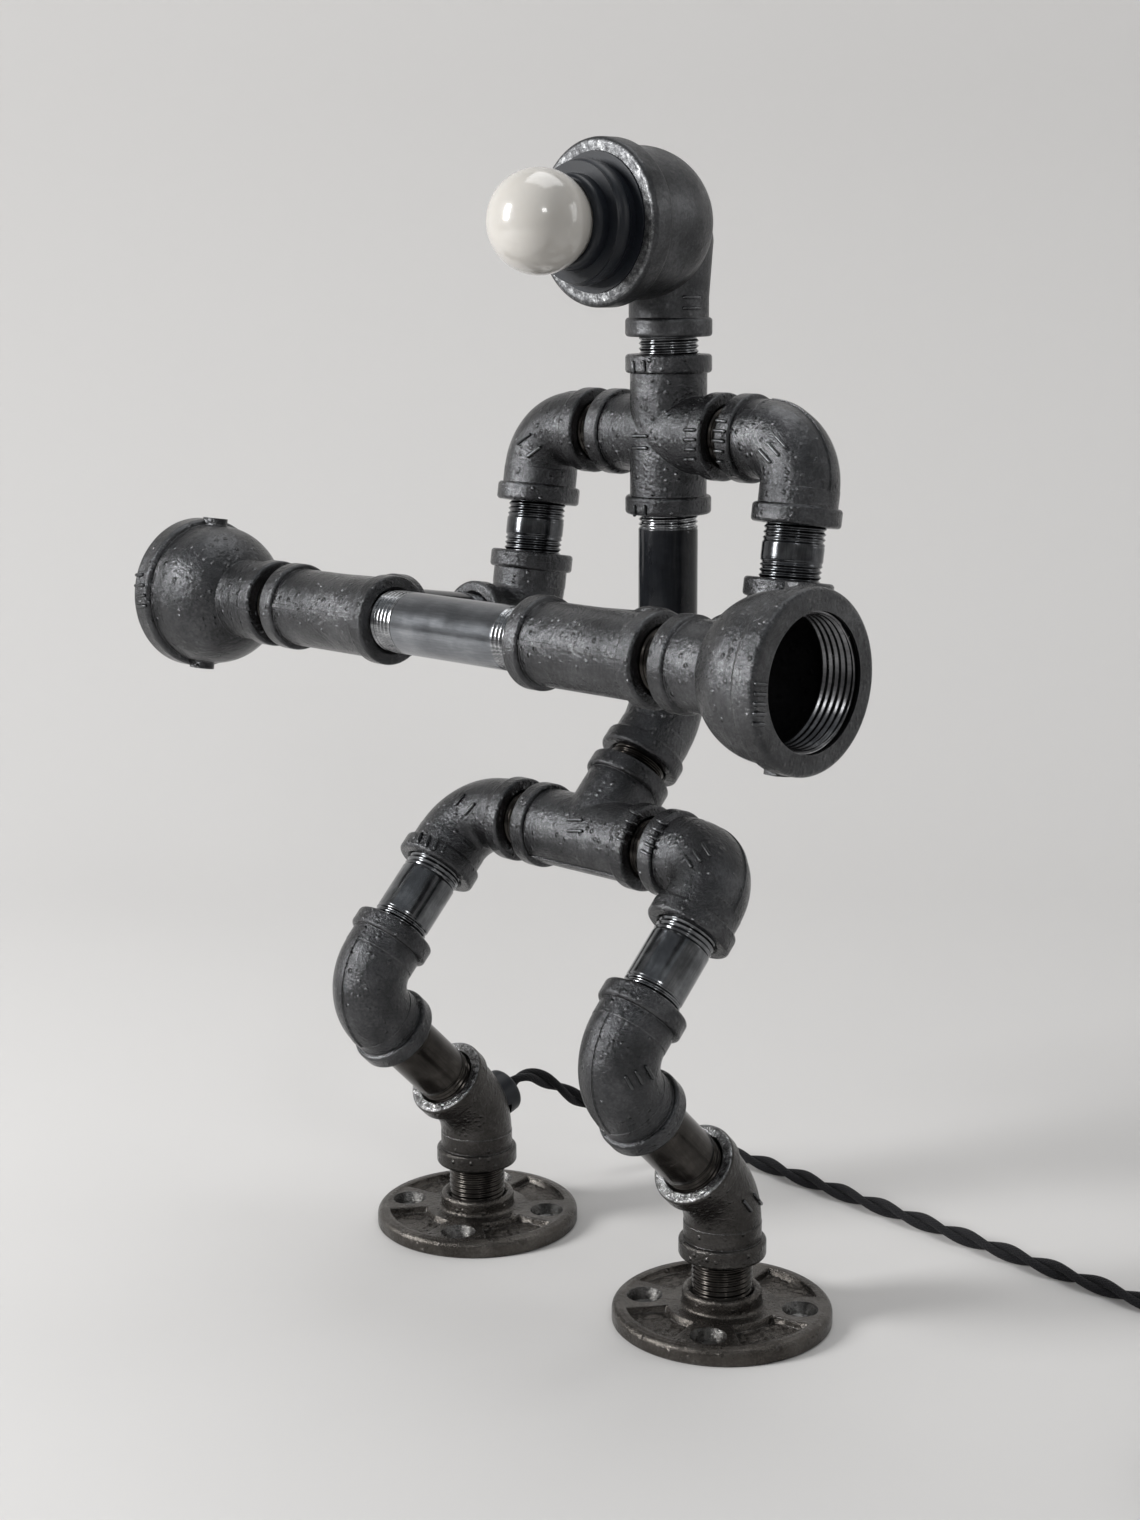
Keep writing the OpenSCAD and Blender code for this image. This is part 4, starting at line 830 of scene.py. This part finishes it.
def buildThreadTree():
    tree = bpy.data.node_groups.new("cutThread", "GeometryNodeTree")
    tree.interface.new_socket("Geometry", in_out="INPUT", socket_type="NodeSocketGeometry")
    for label in ("Length", "Threaded Radius", "Plain Radius", "Pitch", "Depth", "Thread At Start",
                  "Thread At End", "Runout"):
        tree.interface.new_socket(label, in_out="INPUT", socket_type="NodeSocketFloat")
    tree.interface.new_socket("Sides", in_out="INPUT", socket_type="NodeSocketInt").default_value = 48
    tree.interface.new_socket("Steps A Pitch", in_out="INPUT", socket_type="NodeSocketInt").default_value = 6
    tree.interface.new_socket("Material", in_out="INPUT", socket_type="NodeSocketMaterial")
    tree.interface.new_socket("Geometry", in_out="OUTPUT", socket_type="NodeSocketGeometry")
    given = tree.nodes.new("NodeGroupInput").outputs
    length, pitch = given["Length"], given["Pitch"]
    step = calc(tree, "DIVIDE", pitch, given["Steps A Pitch"])
    rows = calc(tree, "CEIL", plus(tree, calc(tree, "DIVIDE", plus(tree, length, pitch), step), 1))
    grid = addNode(tree, "GeometryNodeMeshGrid", {
        "Size X": 1.0, "Size Y": 1.0, "Vertices X": plus(tree, given["Sides"], 1),
        "Vertices Y": plus(tree, rows, 3)})
    split = addNode(tree, "ShaderNodeSeparateXYZ", {0: addNode(tree, "GeometryNodeInputPosition").outputs[0]})
    turn = plus(tree, split.outputs[0], 0.5)
    row = calc(tree, "ROUND", times(tree, plus(tree, split.outputs[1], 0.5), plus(tree, rows, 2)))
    # rows climb by one pitch round the pipe, so every row stays on one flank of the thread
    climb = times(tree, minus(tree, turn, 0.5), pitch)
    start = minus(tree, times(tree, minus(tree, row, 1), step), times(tree, pitch, 0.5))
    height = calc(tree, "MAXIMUM", calc(tree, "MINIMUM", plus(tree, start, climb), length), 0)
    back = calc(tree, "GREATER_THAN", row, plus(tree, rows, 1.5))
    height = times(tree, height, minus(tree, 1, back))
    low, high = calc(tree, "LESS_THAN", row, 1.5), calc(tree, "GREATER_THAN", row, minus(tree, rows, 0.5))
    height = times(tree, height, minus(tree, 1, low))
    atTop = times(tree, high, minus(tree, 1, back))
    height = calc(tree, "MAXIMUM", height, times(tree, atTop, length))
    plain = calc(tree, "MAXIMUM", calc(tree, "LESS_THAN", row, 0.5),
                 calc(tree, "GREATER_THAN", row, plus(tree, rows, 0.5)))
    phase = calc(tree, "FRACT", minus(tree, calc(tree, "DIVIDE", height, pitch), turn))
    groove = minus(tree, 1, calc(tree, "ABSOLUTE", minus(tree, times(tree, phase, 2), 1)))
    ends = []
    for label, away in (("Thread At Start", height), ("Thread At End", minus(tree, length, height))):
        ends.append(addNode(tree, "ShaderNodeMapRange", {
            "Value": minus(tree, given[label], away), "From Min": 0.0, "From Max": given["Runout"],
            "To Min": 0.0, "To Max": 1.0}).outputs[0])
    cut = times(tree, calc(tree, "MAXIMUM", ends[0], ends[1]), times(tree, groove, given["Depth"]))
    radius = minus(tree, given["Threaded Radius"], cut)
    radius = lerp(tree, plain, radius, given["Plain Radius"])
    angle = times(tree, turn, math.tau)
    place = addNode(tree, "ShaderNodeCombineXYZ", {
        0: times(tree, calc(tree, "COSINE", angle), radius),
        1: times(tree, calc(tree, "SINE", angle), radius), 2: height})
    wrap = addNode(tree, "ShaderNodeCombineXYZ", {0: times(tree, angle, given["Threaded Radius"]), 1: height})
    stored = addNode(tree, "GeometryNodeStoreNamedAttribute", {
        "Geometry": grid.outputs["Mesh"], "Name": "pipeWrap", "Value": wrap.outputs[0]}, data_type="FLOAT2",
        domain="CORNER")
    moved = addNode(tree, "GeometryNodeSetPosition",
                    {"Geometry": stored.outputs[0], "Position": place.outputs[0]})
    joined = addNode(tree, "GeometryNodeMergeByDistance", {"Geometry": moved.outputs[0], "Distance": 2e-6})
    real = addNode(tree, "GeometryNodeRealizeInstances", {"Geometry": joined.outputs[0]})
    clad = addNode(tree, "GeometryNodeSetMaterial",
                   {"Geometry": real.outputs[0], "Material": given["Material"]})
    tree.links.new(clad.outputs[0], tree.nodes.new("NodeGroupOutput").inputs[0])
    return tree


threadTree = buildThreadTree()


def setInputs(modifier, tree, values):
    ids = {item.name: item.identifier for item in tree.interface.items_tree if item.in_out == "INPUT"}
    for label, value in values.items():
        modifier[ids[label]] = value


def grown(name, tree, values):
    thing = newObject(name, bpy.data.meshes.new(name + "Seed"))
    modifier = thing.modifiers.new(tree.name, "NODES")
    modifier.node_group = tree
    setInputs(modifier, tree, values)
    applyModifiers(thing)
    thing.data.name = name
    return thing


def threadedPipe(name, start, direction, length, material, atStart, atEnd):
    s = threadSizes
    pipe = grown(name, threadTree, {
        "Length": length * mm, "Threaded Radius": (s["pipe"] / 2 - s["skin"]) * mm,
        "Plain Radius": s["bore"] / 2 * mm, "Pitch": s["pitch"] * mm, "Depth": s["depth"] * mm,
        "Thread At Start": atStart * mm, "Thread At End": atEnd * mm,
        "Runout": s["runout"] * mm, "Sides": s["sides"], "Material": material})
    pipe.data.transform(standing(start * mm, direction))
    closeUp(pipe)
    smoothen(pipe)
    return pipe


def pipeFinish(node):
    if node in ("torso_pipe", "barrel_pipe"):
        return blackPipe if node == "torso_pipe" else barrelSteel
    if node.split("_")[0] in ("upper", "forearm"):
        return armPipe
    # hip, shoulder, bell and waist nipples sit in narrow gaps: their dark finish there is painted shade
    return steelPipe if node.split("_")[0] in ("thigh", "neck") else oiledAndShadedPipe


def cutPipes():
    c, j = chain, joint
    engage = c["engage"]
    fit, bend = c["fitReach"] - engage, c["bendReach"] - engage
    shown, full = engage + threadSizes["shown"], threadSizes["allAlong"]
    across = j["across"]
    runs = []
    for side, word in ((-1, "left"), (1, "right")):
        leg, arm = across * side * c["hipX"], across * side * j["shoulderX"]
        runs += [
            ("foot_nipple_" + word, leg + Vector((0, footY, 2)), j["up"],
             c["ankleZ"] - c["bendReach"] + engage - 2, full, full),
            ("shin_nipple_" + word, leg + j["ankle"] + j["forward"] * bend, j["forward"],
             c["shinGap"] + 2 * engage, shown, shown),
            ("thigh_nipple_" + word, leg + j["knee"] + j["back"] * fit, j["back"],
             c["thighGap"] + 2 * engage, shown, shown),
            ("upper_arm_nipple_" + word, arm + j["chest"] + j["down"] * fit, j["down"],
             c["upperArmGap"] + 2 * engage, shown + 2, shown + 2),
            ("forearm_nipple_" + word, arm + j["arm"] + j["fore"] * fit, j["fore"],
             c["forearmGap"] + 2 * engage, shown, shown)]
        for node, centre, out, gap in (("hip_nipples", j["hip"], 0, c["hipGap"]),
                                       ("shoulder_nipples", j["chest"], 0, c["shoulderGap"]),
                                       ("bell_nipples", j["barrel"], j["shoulderX"], c["bellGap"])):
            start = centre + across * side * (out + fit)
            runs.append((node, start, across * side, gap + 2 * engage, full, full))
    runs += [
        ("waist_nipple", j["hip"] + j["back"] * fit, j["back"], c["waistGap"] + 2 * engage, full, full),
        ("neck_nipple", j["chest"] + j["up"] * fit, j["up"], c["neckGap"] + 2 * engage, full, full),
        ("torso_pipe", j["waist"] + j["up"] * bend, j["up"], c["torsoGap"] + 2 * engage, shown, shown + 1),
        ("barrel_pipe", j["barrel"] + across * (engage + fit - j["shoulderX"] - engage), across,
         2 * (j["shoulderX"] - c["fitReach"]) + 2 * engage, engage + threadSizes["shownBarrel"],
         engage + threadSizes["shownBarrel"])]
    made = {}
    for node, start, direction, length, atStart, atEnd in runs:
        made.setdefault(node, []).append(threadedPipe(
            node + "Cut" + str(len(made.get(node, []))), start, direction, length,
            pipeFinish(node), atStart, atEnd))
    for node, things in made.items():
        thing = joinThings(node + "_threaded", things)
        placed(thing, bodyOf[node], None, [node])
    print("threaded pipes cut:", len(made))


cutPipes()


def cutBellThreads():
    s = bellThread
    for side, word in ((-1, "left"), (1, "right")):
        mouth = joint["shoulderX"] + chain["fitReach"] + chain["bellGap"] + chain["bellLength"]
        out = Vector((side, 0, 0))
        start = Vector((0, joint["barrel"].y, joint["barrel"].z)) + out * (mouth - s["inset"] - s["length"])
        ring = grown("bell_thread_" + word, threadTree, {
            "Length": s["length"] * mm, "Threaded Radius": s["radius"] * mm, "Plain Radius": s["back"] * mm,
            "Pitch": s["pitch"] * mm, "Depth": s["depth"] * mm,
            "Thread At Start": threadSizes["allAlong"] * mm,
            "Thread At End": threadSizes["allAlong"] * mm, "Runout": threadSizes["runout"] * mm,
            "Sides": s["sides"], "Material": steelPipe})
        ring.data.transform(standing(start * mm, out))
        closeUp(ring)
        smoothen(ring)
        placed(ring, "arms", boredIron)
    print("bell threads cut")


cutBellThreads()


# the cove in metres, and the lights: metres to the right, away and up, watts, metres wide and tall
stageSizes = {"radius": 2.4, "bend": 0.5, "rise": 2.6, "setBack": 1.35, "sides": 96,
              "shade": (0.62, 0.61, 0.60), "rough": 0.85}
stageLights = [
    ("windowLight", (-1.25, -0.35, 0.72), 21, 0.30, 0.60), ("frontLight", (0.35, -1.5, 1.0), 2.5, 0.25, 0.25),
    ("topLight", (0.2, 0.3, 1.9), 11, 1.2, 1.2), ("sideLight", (1.9, 0.1, 0.8), 6.5, 1.0, 1.0)]
worldLight = {"Color": (0.9, 0.95, 1.0, 1), "Strength": 0.28}


def buildStage():      # a round cove, seen only from its inside so that it hides nothing from behind
    s = stageSizes
    yaw = math.radians(cameraPlace["yaw"])
    across, away = Vector((math.cos(yaw), math.sin(yaw), 0)), Vector((-math.sin(yaw), math.cos(yaw), 0))
    centre = away * -s["setBack"]
    flat = s["radius"] - s["bend"]
    profile = [(flat, 0.0)]
    profile += [(flat + s["bend"] * math.sin(a), s["bend"] * (1 - math.cos(a))) for a in
                [math.radians(v) for v in range(6, 91, 6)]]
    profile.append((s["radius"], s["rise"]))
    n = s["sides"]
    verts = [centre + Vector((r * math.cos(math.tau * k / n), r * math.sin(math.tau * k / n), z))
             for r, z in profile for k in range(n)]
    faces = [tuple(range(n))]
    for i in range(len(profile) - 1):
        low, high = i * n, (i + 1) * n
        faces += [(low + k, high + k, high + (k + 1) % n, low + (k + 1) % n) for k in range(n)]
    sweep = meshObject("studioCove", verts, faces)
    material = bpy.data.materials.new("paleCove")
    material.use_nodes = True
    tree = material.node_tree
    shader = tree.nodes["Principled BSDF"]
    wire(tree, shader, {"Base Color": (*s["shade"], 1), "Roughness": s["rough"]})
    oneSided = addNode(tree, "ShaderNodeMixShader", {
        0: addNode(tree, "ShaderNodeNewGeometry").outputs["Backfacing"], 1: shader.outputs[0],
        2: addNode(tree, "ShaderNodeBsdfTransparent").outputs[0]})
    tree.links.new(oneSided.outputs[0], tree.nodes["Material Output"].inputs["Surface"])
    dress(sweep, material)
    for name, (sideways, behind, above), power, wide, tall in stageLights:
        place = across * sideways + away * behind + Vector((0, 0, above))
        data = bpy.data.lights.new(name, "AREA")
        data.shape = "RECTANGLE"
        data.energy, data.size, data.size_y = power, wide, tall
        light = newObject(name, data)
        light.location = place
        light.rotation_euler = (Vector((0, 0, 0.2)) - place).to_track_quat("-Z", "Y").to_euler()
    world = bpy.data.worlds.new("studioWorld")
    scene.world = world
    world.use_nodes = True
    wire(world.node_tree, world.node_tree.nodes["Background"], worldLight)


buildStage()
scene.view_settings.view_transform = "Standard"
print("stage built")
